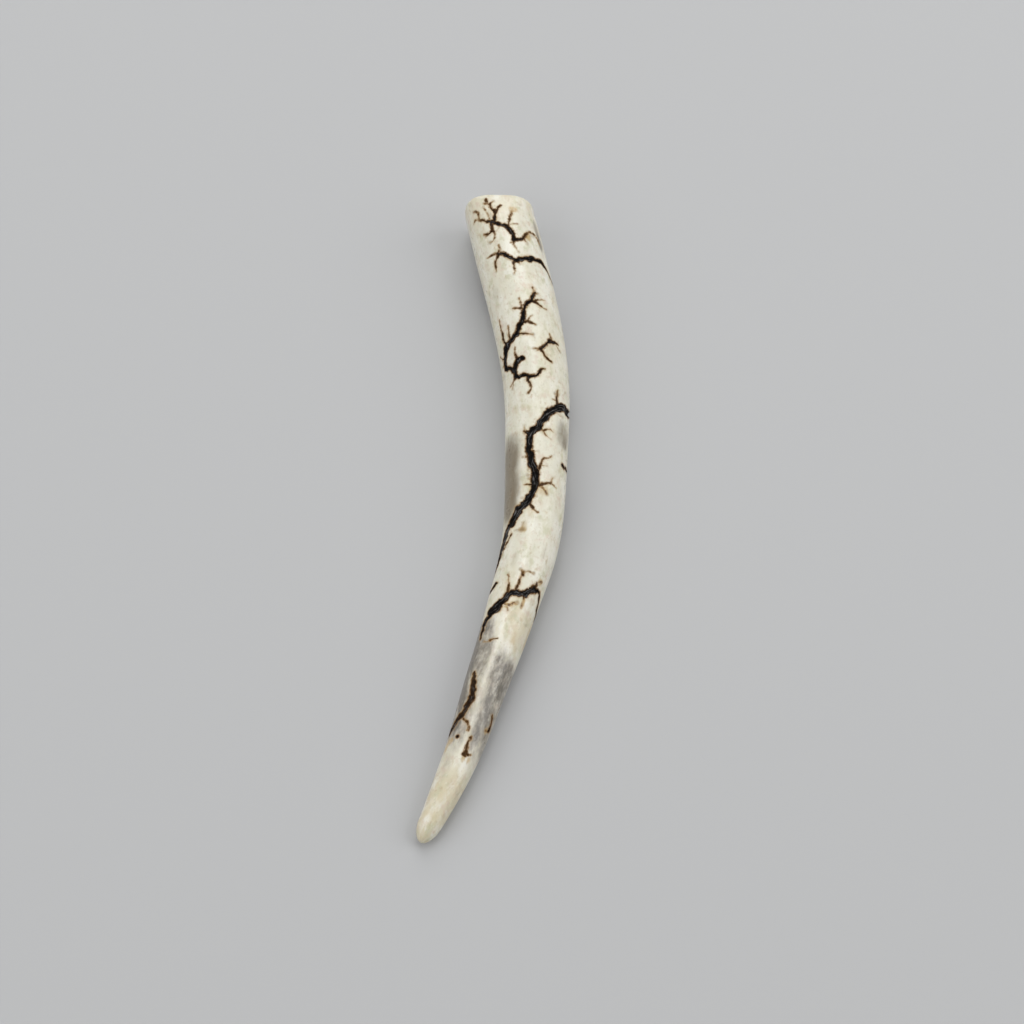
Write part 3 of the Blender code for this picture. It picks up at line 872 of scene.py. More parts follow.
for column in range(-rows, rows + 1):
    for row in range(-rows, rows + 1):
        at_column = column + row % 2 / 2 + dice.uniform(-SHAKEN, SHAKEN)
        at_row = ROW_GAP * row + dice.uniform(-SHAKEN, SHAKEN)
        radius = PORE_GAP * dice.uniform(*PORE_SIZES)
        away = np.hypot(on_face[:, 0] - at_column * PORE_GAP, on_face[:, 1] - at_row * PORE_GAP)
        pores[face] = np.maximum(pores[face], smooth_step((radius - away) / PORE_SLOPE + 0.5))
pores = pores * smooth_step(core_edge * 1.6 - 0.3)
saw_marks = noise_at(points * np.array([0.12, 1.0, 1.0]), 0.3, 59.0) * SAW_MARK
points[:, 1] -= np.where(on_cut, PORE_DEPTH * pores - np.minimum(saw_marks, 0), 0)
print("sunk by the pores, mm:", round(float(pores.max() * PORE_DEPTH), 2))

# %% [markdown]
# All points are in their last places now, and they are turned from millimetres to metres. They
# stay inside the box of the solid, because the solid is what they were measured from and carving
# only takes away.

# %% Make the tine
for vertex, place in zip(skin.verts, points):
    vertex.co = place * MM
mesh_data = bpy.data.meshes.new("tine_skin")
skin.to_mesh(mesh_data)
skin.free()
mesh_data.shade_smooth()
tine = bpy.data.objects.new("polished_tine", mesh_data)
bpy.context.scene.collection.objects.link(tine)
print("tine:", len(mesh_data.polygons), "triangles")

# %% [markdown]
# ## Stains
#
# Fire and age left more than black lines. Smoke lies over the bend beside the river, over the
# outer edge near the butt and all round the last third, where a strip along the crest has less of
# it: a painted highlight for the gleam there. At the river and the butt it is even and brownish.
# In the last third it is grey and blotched, and lighter underneath. The tip and the bone beside the
# fork are yellower, and near the butt's rim the bone is yellower and darker, partly its own colour
# and partly painted shade. Where the river's char goes over the edge it has more grey streaks,
# painted glints. Each stain is a soft spot: millimetres from the cut, degrees from the crest, its
# reach both ways and its strength. The shader breaks its edge up later. The fine ends of the burns
# get small brown spots by rule.

# %% Where the stains lie
RIVER_SMOKE = [
    # millimetres from the cut, degrees from the crest, reach along, reach round, strength
    (69.0, -58, 5.0, 28, 0.72),
    (79.0, -60, 9.0, 30, 0.90),
    (82.5, -56, 5.0, 18, 0.22),
]
EVEN_SMOKE_SPOTS = [
    (64.8, 59, 3.4, 22, 0.62),
    (67.0, 64, 1.6, 8, 0.20),
    (60.8, 46, 2.5, 12, 0.18),
    (9.6, 58, 2.6, 7, 0.65),
    (14.0, 62, 3.0, 7, 0.80),
]
SMOKE_SPOTS = [
    (112.5, -36, 2.6, 16, 0.30),
    (121.4, 20, 2.2, 11, 0.20),
    (120.4, 54, 1.6, 12, 0.12),
    (122.4, 44, 1.8, 12, 0.26),
    (125.2, 38, 1.4, 8, 0.35),
    (127.0, 50, 2.2, 12, 0.35),
    (129.8, 28, 2.4, 9, 0.45),
    (132.6, 36, 1.6, 12, 0.25),
    (124.0, -76, 11.0, 26, 0.40),
    (131.0, -52, 3.5, 12, 0.25),
    (136.6, -44, 2.2, 12, 0.30),
    (138.8, 26, 2.6, 12, 0.25),
    (147.0, -26, 2.6, 24, 0.30),
]
AMBER_SPOTS = [
    (114.6, 36, 2.0, 10, 0.45),
    (116.4, 52, 1.6, 12, 0.35),
    (112.0, 84, 4.5, 10, 0.55),
    (140.6, -48, 0.9, 10, 0.75),
    (142.0, -62, 1.8, 9, 0.80),
    (143.8, 17, 0.9, 6, 0.85),
    (143.6, 35, 0.7, 7, 0.75),
    (136.0, 55, 0.9, 8, 0.60),
    (5.2, 19, 1.1, 8, 0.85),
    (3.2, 35, 0.9, 4, 0.55),
    (13.4, 33, 1.2, 7, 0.62),
    (100.2, 52, 1.0, 8, 0.80),
    (153.6, -56, 3.0, 12, 0.40),
    (85.0, -4, 2.0, 12, 0.25),
    (89.6, -16, 0.9, 8, 0.90),
    (88.0, -15, 0.9, 5, 0.50),
    (89.8, -26, 0.5, 10, 0.40),
    (79.8, 16, 1.4, 14, 0.50),
    (107.8, -6, 0.28, 11, 0.95),
    (107.2, 7, 0.26, 9, 0.85),
    (108.5, -8, 0.24, 6, 0.75),
    (107.6, 0, 1.0, 16, 0.25),
    (106.4, 27, 1.4, 5, 0.75),
]
BROWN_SPOTS = [
    (93.8, 38, 2.2, 5, 0.36),
    (89.6, -16, 0.6, 5, 0.60),
    (88.2, -15, 0.9, 2.5, 0.70),
    (89.8, -25, 0.4, 9, 0.70),
    (97.2, -22, 2.4, 7, 0.28),
    (6.2, -23, 1.4, 4, 0.40),
    (80.6, -48, 2.5, 7, 0.30),
    (27.0, -48, 2.4, 10, 0.25),
    (24.0, -30, 1.6, 7, 0.20),
    (3.2, 35, 0.8, 3, 0.42),
    (48.4, -74, 1.4, 9, 0.35),
    (12.6, 42, 1.0, 8, 0.35),
    (110.6, 56, 0.5, 6, 0.40),
    (151.2, 60, 0.9, 8, 0.35),
    (156.0, 52, 1.0, 10, 0.35),
    (150.0, 6, 0.9, 8, 0.18),
]
WARM_SPOTS = [
    (110.0, 30, 6.0, 60, 0.70),
    (113.0, -70, 5.0, 30, 0.35),
    (46.0, -80, 9.0, 26, 0.30),
    (30.0, 80, 9.0, 30, 0.20),
    (86.0, -50, 6.0, 20, 0.40),
]
# where the river's char goes over the edge it gets more grey streaks: painted glints
GLINT_SPOTS = [
    (92.0, -68, 5.5, 18, 1.00),
    (61.5, 12, 6.0, 40, 0.35),
    (84.5, -26, 3.0, 24, 0.45),
    (104.6, 5, 3.0, 40, 0.60),
]
# the last third's smoke begins this far from the cut, by the degrees from the crest
SMOKED_FROM = {-180: 113, -90: 111, -40: 112, 0: 117, 60: 119, 90: 120, 180: 113}
SMOKED_TO = 143.0
SMOKE_FADE, TIP_FADE = 6.0, 10.0    # millimetres over which it comes and goes
RING_SMOKE, UNDER_LIGHTER = 0.62, 0.17    # its strength on the crest, and how much less underneath
RIVER_BANK = 63.6    # the river stops the smoke patch beside it here
# a paler strip painted along the crest where the gleam lies: a painted highlight
PAINTED_GLEAM = ((116, 3), (122, -1), (131, -2), (137, 5), (146, 3))    # a pale strip: along, round
PAINTED_GLEAM_FROM, PAINTED_GLEAM_TO = 114, 152
PAINTED_GLEAM_WIDTH = 0.9   # millimetres
PAINTED_GLEAM_OFF = 0.30    # of the smoke's strength
# the butt's share is partly the bone's own yellowing and partly painted shade of the rim
TIP_WARMTH, BUTT_WARMTH_AND_SHADE = 0.8, 0.5
SPOT_END = 1.45      # reaches from its middle where a spot ends; it is full up to one reach less
BROWN_END, FINE_END = 0.65, 0.7    # a burn's end has a brown spot if it is paler and finer


def spots(places):
    """Sum of soft spots at every vertex."""
    total = np.zeros(len(along))
    for at, round_, reach_along, reach_round, strength in places:
        off = (np.degrees(angle) - round_ + 180) % 360 - 180
        away = np.hypot((along - at) / reach_along, off / reach_round)
        total += strength * smooth_step(SPOT_END - away)
    return total


SINGED_ENDS = []
for places in BURNS[:HAND_LAID]:
    end_along, end_round, end_width, end_black = places[-1]
    if end_black < BROWN_END and end_width < FINE_END:
        radius = 0.35 + 0.3 * dice.random()
        round_radius = math.degrees(radius / half_width_at(end_along))
        SINGED_ENDS.append((end_along, end_round, radius, round_radius, dice.uniform(0.2, 0.5)))
print("singed ends:", len(SINGED_ENDS))

begins = np.interp(np.degrees(angle), list(SMOKED_FROM), list(SMOKED_FROM.values()))
ring_smoke = smooth_step((along - begins + SMOKE_FADE / 2) / SMOKE_FADE)
ring_smoke = ring_smoke * smooth_step((SMOKED_TO + TIP_FADE / 2 - along) / TIP_FADE)
even_smoke = spots(RIVER_SMOKE) * smooth_step(along - RIVER_BANK) + spots(EVEN_SMOKE_SPOTS)
underneath = smooth_step((np.abs(np.degrees(angle)) - 70) / 50)
ring_smoke = ring_smoke * (RING_SMOKE - UNDER_LIGHTER * underneath)
smoke = spots(SMOKE_SPOTS) + ring_smoke
# less smoke on a strip along the crest: a painted highlight for the gleam there
strip_middle = np.radians(np.interp(along, *zip(*PAINTED_GLEAM)))
from_strip = np.abs(angle - strip_middle) * form_size(along, angle)
painted_gleam = np.exp(-(from_strip / PAINTED_GLEAM_WIDTH) ** 2) * smooth_step((along - PAINTED_GLEAM_FROM) / 5)
painted_gleam = painted_gleam * smooth_step((PAINTED_GLEAM_TO - along) / 6)
smoke = smoke - PAINTED_GLEAM_OFF * painted_gleam
warm = spots(WARM_SPOTS) + TIP_WARMTH * smooth_step((along - SMOKED_TO) / 9)
# near the cut the bone is painted warmer and darker: partly its own colour, partly painted shade
warm = warm + BUTT_WARMTH_AND_SHADE * smooth_step(1 - along / 10)

# %% [markdown]
# The shader reads what was worked out here from named attributes, one number at each vertex.
# "Place" is a vector that follows the tine: how far along, and where on a round of its true
# size. Textures drawn with it bend with the tine, as the growth of bone does. "Burn flow" follows
# the burns in the same way: how far along the line, how far across it, and which line it is.
# "Dull" is the rim of the cut, which the polishing wheel hardly reached.

# %% Hand the numbers to the shader
DULL_TO = 2.6    # millimetres from the cut


def name_attribute(name, values):
    """Gives the mesh a number or a vector at each vertex."""
    values = np.asarray(values, dtype=np.float32)
    kind = "FLOAT_VECTOR" if values.ndim == 2 else "FLOAT"
    made = mesh_data.attributes.new(name, kind, "POINT")
    made.data.foreach_set("vector" if values.ndim == 2 else "value", values.ravel())


size = form_size(along, angle)
place = np.stack([along, size * np.sin(angle) * spread, size * np.cos(angle) * spread], -1)
name_attribute("place", place)
name_attribute("burn_edge", np.where(on_cut, -REACH, torn_edge))
name_attribute("burn_half", half + torn)
name_attribute("burn_black", field["black"])
name_attribute("burn_heat", field["heat"])
name_attribute("burn_flow", np.stack([field["run"], field["across"], field["line"]], -1))
name_attribute("even_smoke", even_smoke)
name_attribute("smoke", smoke)
# warm holds the bone's yellowing, and near the cut painted shade as well
name_attribute("warm", warm)
name_attribute("dull", smooth_step((DULL_TO - along) / 1.8) * (1 - on_cut))
name_attribute("amber", spots(AMBER_SPOTS))
name_attribute("brown", spots(BROWN_SPOTS + SINGED_ENDS))
name_attribute("glinty", spots(GLINT_SPOTS))
name_attribute("pores", pores)
name_attribute("core", core_edge * on_cut)

# %% [markdown]
# ## The flat map
#
# A model that leaves Blender takes its colours as one square picture, so the skin has to be laid
# flat. The tine is cut along its underside, where a seam shows least, and across at its middle.
# The two halves are unrolled side by side, and the sawn end goes in the corner.

# %% Unroll the skin
MAP_SIDE = 96.0      # millimetres of skin, as the next three are
MAP_MARGIN = 1.5
FIRST_MIDDLE, SECOND_MIDDLE = 26.5, 74.0
CUT_MIDDLE = (88.0, 88.0)
ROLL = (1 + FLATNESS) / 2    # a flattened round's length beside that of a circle

corner_vertex = np.empty(len(mesh_data.loops), dtype=int)
mesh_data.loops.foreach_get("vertex_index", corner_vertex)
corners = corner_vertex.reshape(-1, 3)
face_side = (np.sin(angle) * spread)[corners].mean(axis=1)
face_crest = (np.cos(angle) * spread)[corners].mean(axis=1)
face_along = along[corners].mean(axis=1)
face_angle = np.arctan2(face_side, face_crest)
turn = (angle[corners] - face_angle[:, None] + np.pi) % (2 * np.pi) - np.pi
at_tip = along[corners] > LENGTH - SAME
corner_angle = face_angle[:, None] + np.where(at_tip, 0, turn)
corner_size = np.interp(along, FORM_ALONG, FORM_WAVES[:, 0].real)[corners]
nose_part = np.clip((along[corners] - LENGTH + NOSE) / NOSE, 0, 1)
corner_size = corner_size * np.sqrt(1 - nose_part ** 2) * ROLL
in_first = (face_along < SPLIT)[:, None]
across_map = np.where(in_first, FIRST_MIDDLE, SECOND_MIDDLE) + corner_angle * corner_size
up_map = MAP_MARGIN + along[corners] - np.where(in_first, 0, SPLIT)
flat_face = (face_along < SAME)[:, None]
disc_side = (place[:, 1] * (1 - RIM / size))[corners]
disc_crest = (place[:, 2] * (1 - RIM / size) * FLATNESS)[corners]
across_map = np.where(flat_face, CUT_MIDDLE[0] + disc_side, across_map)
up_map = np.where(flat_face, CUT_MIDDLE[1] + disc_crest, up_map)
flat_map = mesh_data.uv_layers.new(name="OFBake")
flat_map.data.foreach_set("uv", np.stack([across_map, up_map], -1).ravel() / MAP_SIDE)
print("map used, mm:", round(float(across_map.max()), 1), "x", round(float(up_map.max()), 1))

# %% [markdown]
# ## Tools for shaders
#
# Shaders are made of many small nodes. A few helpers keep the cells below short: one adds a node
# and feeds it, one turns a value into a mask between two limits, one mixes two colours, and one
# is a ladder of colours: the higher the value, the further up the colour and the more it hides.
# Others draw clouds of noise along the tine.

# %% Shader helpers


def sockets_like(sockets, kind):
    """The sockets in use that carry this kind of value."""
    return [socket for socket in sockets if socket.enabled and socket.type == kind]


def feed(tree, socket, value):
    """Links a socket to another, or gives it a plain value."""
    if isinstance(value, bpy.types.NodeSocket):
        tree.links.new(value, socket)
    elif value is not None:
        socket.default_value = value


def add(tree, kind, settings=None, **inputs):
    """A node with its settings and inputs. An input's name has _ for a space."""
    made = tree.nodes.new(kind)
    for name, value in (settings or {}).items():
        setattr(made, name, value)
    for name, value in inputs.items():
        feed(tree, made.inputs[name.replace("_", " ")], value)
    return made


def maths(tree, operation, first, second=None):
    """The result of one operation on one or two numbers."""
    made = add(tree, "ShaderNodeMath", {"operation": operation})
    feed(tree, made.inputs[0], first)
    feed(tree, made.inputs[1], second)
    return made.outputs[0]


def mask(tree, value, start, end, strength=1.0):
    """0 below start and strength above end, with soft ends."""
    made = add(tree, "ShaderNodeMapRange", {"interpolation_type": "SMOOTHSTEP"},
               Value=value, From_Min=start, From_Max=end, To_Min=0.0, To_Max=strength)
    return made.outputs["Result"]


def mix(tree, amount, first, second):
    """The first colour where the amount is 0, the second where it is 1."""
    made = add(tree, "ShaderNodeMix", {"data_type": "RGBA"})
    feed(tree, made.inputs[0], amount)
    feed(tree, sockets_like(made.inputs, "RGBA")[0], first)
    feed(tree, sockets_like(made.inputs, "RGBA")[1], second)
    return sockets_like(made.outputs, "RGBA")[0]


def ladder(tree, value, steps):
    """A colour and its cover from 0 to 1, for a value, from rows of (value, colour, cover)."""
    made = add(tree, "ShaderNodeValToRGB", Fac=value)
    rungs = made.color_ramp.elements
    while len(rungs) < len(steps):
        rungs.new(1.0)
    for rung, (at, color, cover) in zip(rungs, steps):
        rung.position = at
        rung.color = (*color, cover)
    return made.outputs["Color"], made.outputs["Alpha"]


def stretch(tree, vector, along_scale, round_scale):
    """Texture places squeezed unequally along the tine and round it."""
    made = add(tree, "ShaderNodeVectorMath", {"operation": "MULTIPLY"})
    feed(tree, made.inputs[0], vector)
    made.inputs[1].default_value = (along_scale, round_scale, round_scale)
    return made.outputs[0]


def cloud(tree, vector, scale, detail=3.0, roughness=0.55):
    """Noise from 0 to 1 with about scale lumps in a millimetre."""
    return add(tree, "ShaderNodeTexNoise", Vector=vector, Scale=scale, Detail=detail,
               Roughness=roughness).outputs["Fac"]


def cloud_layer(tree, vector, squeeze, seed, lumps):
    """Cloud noise squeezed along the tine. Each seed gives other clouds."""
    moved = add(tree, "ShaderNodeVectorMath", {"operation": "ADD"})
    feed(tree, moved.inputs[0], stretch(tree, vector, squeeze, 1.0))
    moved.inputs[1].default_value = (seed, seed, seed)
    return cloud(tree, moved.outputs[0], lumps, 4.0, 0.6)


def centred(tree, noise_value, strength):
    """Noise from 0 to 1, turned into as much up as down, times a strength."""
    return maths(tree, "MULTIPLY", maths(tree, "SUBTRACT", noise_value, 0.5), strength)


def new_group(name, inputs, outputs):
    """An empty node group with the sockets that are named."""
    group = bpy.data.node_groups.new(name, "ShaderNodeTree")
    for socket_name, kind, value in inputs:
        made = group.interface.new_socket(socket_name, in_out="INPUT", socket_type="NodeSocket" + kind)
        if value is not None:
            made.default_value = value
    for socket_name, kind in outputs:
        group.interface.new_socket(socket_name, in_out="OUTPUT", socket_type="NodeSocket" + kind)
    return group, group.nodes.new("NodeGroupInput").outputs, group.nodes.new("NodeGroupOutput").inputs


def place_group(tree, group, **inputs):
    """The outputs of a node group that is put in and fed."""
    return add(tree, "ShaderNodeGroup", {"node_tree": group}, **inputs).outputs


# %% [markdown]
# ## Bone
#
# Polished antler is never one colour. It is cloudy: warm, faintly pink and olive places a few
# millimetres wide lie over each other, small tan blots show where the outer bone was thin, and
# the sanding opened pores that look like pale flecks and dark specks. Every layer is a noise of
# its own size and seed, cut by a mask. This group gives the colour of the bare bone. The sides and
# the sawn end both use it.

# %% Group: bone
IVORY = (0.722, 0.700, 0.578, 1)
IVORY_WARM = (0.670, 0.600, 0.425, 1)
IVORY_PALE = (0.810, 0.790, 0.690, 1)
BONE_LAYERS = [
    # colour, lumps in a millimetre, squeezed along, seed, mask from, mask to, strength
    (IVORY_PALE, 0.30, 0.55, 3.0, 0.44, 0.66, 0.90),
    ((0.650, 0.545, 0.430, 1), 0.50, 0.75, 11.0, 0.50, 0.72, 0.85),
    ((0.560, 0.545, 0.370, 1), 0.42, 0.75, 19.0, 0.50, 0.72, 0.80),
    ((0.490, 0.370, 0.215, 1), 0.75, 0.70, 27.0, 0.56, 0.78, 0.75),
    (IVORY_PALE, 1.30, 0.60, 35.0, 0.52, 0.76, 0.55),
    ((0.430, 0.340, 0.220, 1), 2.00, 0.80, 43.0, 0.57, 0.79, 0.62),
]

bone_group, given, put = new_group(
    "bone", [("Place", "Vector", None), ("Warmth", "Float", 0.0)], [("Color", "Color")]
)
clouds = cloud(bone_group, stretch(bone_group, given["Place"], 0.5, 1.0), 0.16, 3.0)
warmth = maths(bone_group, "ADD", mask(bone_group, clouds, 0.45, 0.75, 0.45), given["Warmth"])
bone_color = mix(bone_group, warmth, IVORY, IVORY_WARM)
for color, lumps, squeeze, seed, start, end, strength in BONE_LAYERS:
    layer = cloud_layer(bone_group, given["Place"], squeeze, seed, lumps)
    bone_color = mix(bone_group, mask(bone_group, layer, start, end, strength), bone_color, color)
feed(bone_group, put["Color"], bone_color)

# %% [markdown]
# ## Smoke and amber
#
# Smoke sank into the bone unevenly, so its patches have torn ends and cloudy insides. The heat
# also turned the bone amber in places. The group takes the soft spots from the mesh and tears
# them up with three noises.

# %% Group: stains
SMOKE_LADDER = [
    (0.00, (0.500, 0.455, 0.395), 0.00),
    (0.30, (0.430, 0.390, 0.335), 0.45),
    (0.60, (0.290, 0.258, 0.220), 0.74),
    (1.00, (0.120, 0.103, 0.086), 0.90),
]
TAUPE = (0.205, 0.168, 0.115, 1)
AMBER = (0.47, 0.315, 0.115, 1)
BROWN = (0.20, 0.125, 0.050, 1)
EVEN_TEARING = 0.27    # the even smoke is torn less than the other stains
SHREDS = [
    # seed, lumps in a millimetre, squeezed along, how far they tear
    (0.0, 0.42, 0.6, 2.2),
    (9.0, 1.3, 0.4, 1.9),
    (17.0, 3.1, 0.5, 0.9),
]

stain_group, given, put = new_group(
    "stains",
    [("Place", "Vector", None), ("Color", "Color", IVORY), ("Smoke", "Float", 0.0),
     ("Even Smoke", "Float", 0.0), ("Amber", "Float", 0.0), ("Brown", "Float", 0.0)],
    [("Color", "Color")],
)
shredded = 0.0
for seed, lumps, squeeze, push in SHREDS:
    layer = cloud_layer(stain_group, given["Place"], squeeze, seed, lumps)
    shredded = maths(stain_group, "ADD", shredded, centred(stain_group, layer, push))


def stained_amount(spot, strength, tearing=0.7):
    """How strong a stain is here, from its soft spot and the torn noise."""
    some = maths(stain_group, "MULTIPLY", shredded, tearing)
    uneven_spot = maths(stain_group, "MULTIPLY", spot, maths(stain_group, "ADD", some, 1.0))
    return mask(stain_group, uneven_spot, 0.0, 1.0, strength)


smoke_color, smoke_cover = ladder(stain_group, stained_amount(given["Smoke"], 1.0), SMOKE_LADDER)
stained = mix(stain_group, smoke_cover, given["Color"], smoke_color)
stained = mix(stain_group, stained_amount(given["Even Smoke"], 0.95, EVEN_TEARING), stained, TAUPE)
stained = mix(stain_group, stained_amount(given["Amber"], 0.85), stained, AMBER)
stained = mix(stain_group, stained_amount(given["Brown"], 0.9), stained, BROWN)
feed(stain_group, put["Color"], stained)

# %% [markdown]
# ## Burned bone
#
# From its middle outwards a burn is black char with grey streaks along its fibres, painted glints
# that stand for light caught on its glossy bed, then a brown rim, then bone singed amber here and
# there. Fine twigs never get hot enough to turn black and stay brown. So there is one number, how
# far the bone is burned, and a ladder of colours from amber to black. Inside a line the number is
# the line's blackness, and it falls off at the edge, which is frayed by noise. Around the line the
# heat raises it a little, in patches. The painted glints follow the burn's own directions.
#
# A twig can be as thin as the net of the mesh, and its edge, known at the net's points alone,
# would come out as a row of dots. How far a place is across the line is better: it changes sign
# at the middle, so it is true between the points too. It may widen the edge by Slack at most,
# because it is false where two lines meet and past a line's end.

# %% Group: burned bone
BURN_LADDER = [
    (0.00, (0.520, 0.370, 0.160), 0.00),
    (0.16, (0.400, 0.250, 0.090), 0.38),
    (0.36, (0.215, 0.110, 0.030), 0.84),
    (0.58, (0.080, 0.0375, 0.0115), 1.00),
    (0.80, (0.026, 0.0140, 0.0068), 1.00),
    (1.00, (0.0040, 0.0033, 0.0029), 1.00),
]
# grey of the painted glints on the char
PAINTED_GLINT_GREY = (0.150, 0.144, 0.142, 1)
SLACK = 0.10                 # millimetres
FRAY = 0.36                  # how far noise moves the edge of a wide burn, in millimetres
BURN_EDGE = (-0.09, 0.22)    # millimetres inside the frayed edge: a burn begins and is full
HEAT_SHOWS = (0.08, 0.95)    # the heat at which bone begins to singe and is singed in full
SINGED = 0.72                # how far up the ladder heat alone gets
CHARRED = (0.55, 0.80)       # where on the ladder brown turns to char
GLINT_FIBRES = (0.55, 6.4, 3.7)    # squeezed along the burn and across it, and unlike on each line

burn_group, given, put = new_group(
    "burned bone",
    [("Place", "Vector", None), ("Flow", "Vector", None), ("Color", "Color", IVORY),
     ("Edge", "Float", -1.0), ("Half Width", "Float", 0.0), ("Black", "Float", 0.0),
     ("Heat", "Float", 0.0), ("Ashy", "Float", 0.0)],
    [("Color", "Color"), ("Char", "Float")],
)
off_middle = add(burn_group, "ShaderNodeSeparateXYZ", Vector=given["Flow"]).outputs["Y"]
edge = maths(burn_group, "SUBTRACT", given["Half Width"], maths(burn_group, "ABSOLUTE", off_middle))
edge = maths(burn_group, "MINIMUM", edge, maths(burn_group, "ADD", given["Edge"], SLACK))
fray = cloud(burn_group, given["Place"], 3.2, 4.0, 0.65)
fray = centred(burn_group, fray, FRAY)
wide = maths(burn_group, "ADD", mask(burn_group, given["Half Width"], 0.1, 0.5, 0.7), 0.3)
patchy = cloud(burn_group, given["Place"], 0.9, 3.0)
blackness = maths(burn_group, "ADD", given["Black"], centred(burn_group, patchy, 0.5))
frayed_edge = maths(burn_group, "ADD", edge, maths(burn_group, "MULTIPLY", fray, wide))
inside = mask(burn_group, frayed_edge, *BURN_EDGE)
in_line = maths(burn_group, "MULTIPLY", inside, blackness)
around_line = maths(burn_group, "ADD", given["Heat"], fray)
patches = maths(burn_group, "ADD", mask(burn_group, patchy, 0.40, 0.60, 0.6), 0.4)
around_line = mask(burn_group, around_line, *HEAT_SHOWS, SINGED)
around_line = maths(burn_group, "MULTIPLY", around_line, patches)
burned = maths(burn_group, "MAXIMUM", in_line, around_line)
char_color, char_cover = ladder(burn_group, burned, BURN_LADDER)
burned_color = mix(burn_group, char_cover, given["Color"], char_color)
char = mask(burn_group, in_line, *CHARRED)

# grey streaks along the char's fibres: a painted highlight for the glints of its glossy bed
along_burn = add(burn_group, "ShaderNodeVectorMath", {"operation": "MULTIPLY"})
feed(burn_group, along_burn.inputs[0], given["Flow"])
along_burn.inputs[1].default_value = GLINT_FIBRES
fibre_noise = cloud(burn_group, along_burn.outputs[0], 1.0, 3.0, 0.6)
fibre_noise = maths(burn_group, "ADD", fibre_noise,
                    maths(burn_group, "MULTIPLY", given["Ashy"], 0.10))
painted_glints = maths(burn_group, "MULTIPLY", mask(burn_group, fibre_noise, 0.56, 0.66), char)
painted_glints = maths(burn_group, "MULTIPLY", painted_glints, mask(burn_group, edge, 0.16, 0.34, 0.9))
burned_color = mix(burn_group, painted_glints, burned_color, PAINTED_GLINT_GREY)
feed(burn_group, put["Color"], burned_color)
feed(burn_group, put["Char"], char)

# %% [markdown]
# ## Polish
#
# The shine wanders a little from place to place, is duller on char and in pores, and is crossed by
# the finest sanding lines. This group answers with a roughness and a height for the bump. Each
# finish uses it with its own numbers.

# %% Group: polish
polish_group, given, put = new_group(
    "polish",
    [("Place", "Vector", None), ("Base", "Float", 0.3), ("Wander", "Float", 0.08),
     ("Char", "Float", 0.0), ("Char Roughness", "Float", 0.3), ("Lines", "Float", 1.0)],
    [("Roughness", "Float"), ("Height", "Float")],
)
smear = cloud(polish_group, stretch(polish_group, given["Place"], 0.5, 1.0), 0.7, 4.0, 0.6)
wander = centred(polish_group, smear, given["Wander"])
smooth = maths(polish_group, "ADD", given["Base"], wander)
gap = maths(polish_group, "SUBTRACT", given["Char Roughness"], smooth)
feed(polish_group, put["Roughness"],
     maths(polish_group, "ADD", smooth, maths(polish_group, "MULTIPLY", gap, given["Char"])))
lines = cloud(polish_group, stretch(polish_group, given["Place"], 0.10, 1.6), 3.0, 3.0, 0.65)
feed(polish_group, put["Height"], maths(polish_group, "MULTIPLY", lines, given["Lines"]))

# %% [markdown]
# ## Three finishes
#
# The sides, the char and the sawn end are the same bone finished unlike. Each is its own
# material, put together from the groups above. Char drinks light and shines less, so it has a
# lower specular level, set on the shader itself because it is the same all over the char. The
# sides have a thin coat of wax as well, which ends short of the cut's dull rim.

# %% Material helpers
SANDING = 0.05 * MM    # how deep the finest sanding lines are


def attribute(tree, name, output="Fac"):
    """The number, or the Vector, that the mesh holds under a name."""
    made = add(tree, "ShaderNodeAttribute", {"attribute_name": name})
    return made.outputs[output]


def new_material(name):
    """A new material, its node tree and its shader."""
    material = bpy.data.materials.new(name)
    material.use_nodes = True
    tree = material.node_tree
    shader = next(node for node in tree.nodes if node.type == "BSDF_PRINCIPLED")
    return material, tree, shader


def dress(tree, shader, color, polish, bump_strength):
    """Gives a shader its colour, its gloss and its finest relief."""
    feed(tree, shader.inputs["Base Color"], color)
    feed(tree, shader.inputs["Roughness"], polish["Roughness"])
    bump = add(tree, "ShaderNodeBump", Height=polish["Height"], Strength=bump_strength, Distance=SANDING)
    feed(tree, shader.inputs["Normal"], bump.outputs["Normal"])


# %% Material: polished antler
SANDED, RIM_ROUGHER = 0.29, 0.25    # roughness, and how much more the cut's dull rim has
WAX = 0.2                           # the coat's weight


def antler_finish(name, char_roughness, specular):
    """The finish of the sides. Char and bone take it with their own gloss."""
    material, tree, shader = new_material(name)
    at = attribute(tree, "place", "Vector")
    bone = place_group(tree, bone_group, Place=at, Warmth=attribute(tree, "warm"))
    stains = place_group(tree, stain_group, Place=at, Color=bone["Color"],
                         Smoke=attribute(tree, "smoke"), Even_Smoke=attribute(tree, "even_smoke"),
                         Amber=attribute(tree, "amber"), Brown=attribute(tree, "brown"))
    burns = place_group(tree, burn_group, Place=at, Flow=attribute(tree, "burn_flow", "Vector"),
                        Color=stains["Color"], Edge=attribute(tree, "burn_edge"),
                        Half_Width=attribute(tree, "burn_half"), Black=attribute(tree, "burn_black"),
                        Heat=attribute(tree, "burn_heat"), Ashy=attribute(tree, "glinty"))
    sanded = maths(tree, "MULTIPLY", attribute(tree, "dull"), RIM_ROUGHER)
    sanded = maths(tree, "ADD", sanded, SANDED)
    polish = place_group(tree, polish_group, Place=at, Base=sanded, Wander=0.16, Char=burns["Char"],
                         Char_Roughness=char_roughness, Lines=1.0)
    dress(tree, shader, burns["Color"], polish, 0.35)
    shader.inputs["Specular IOR Level"].default_value = specular
    return material, shader


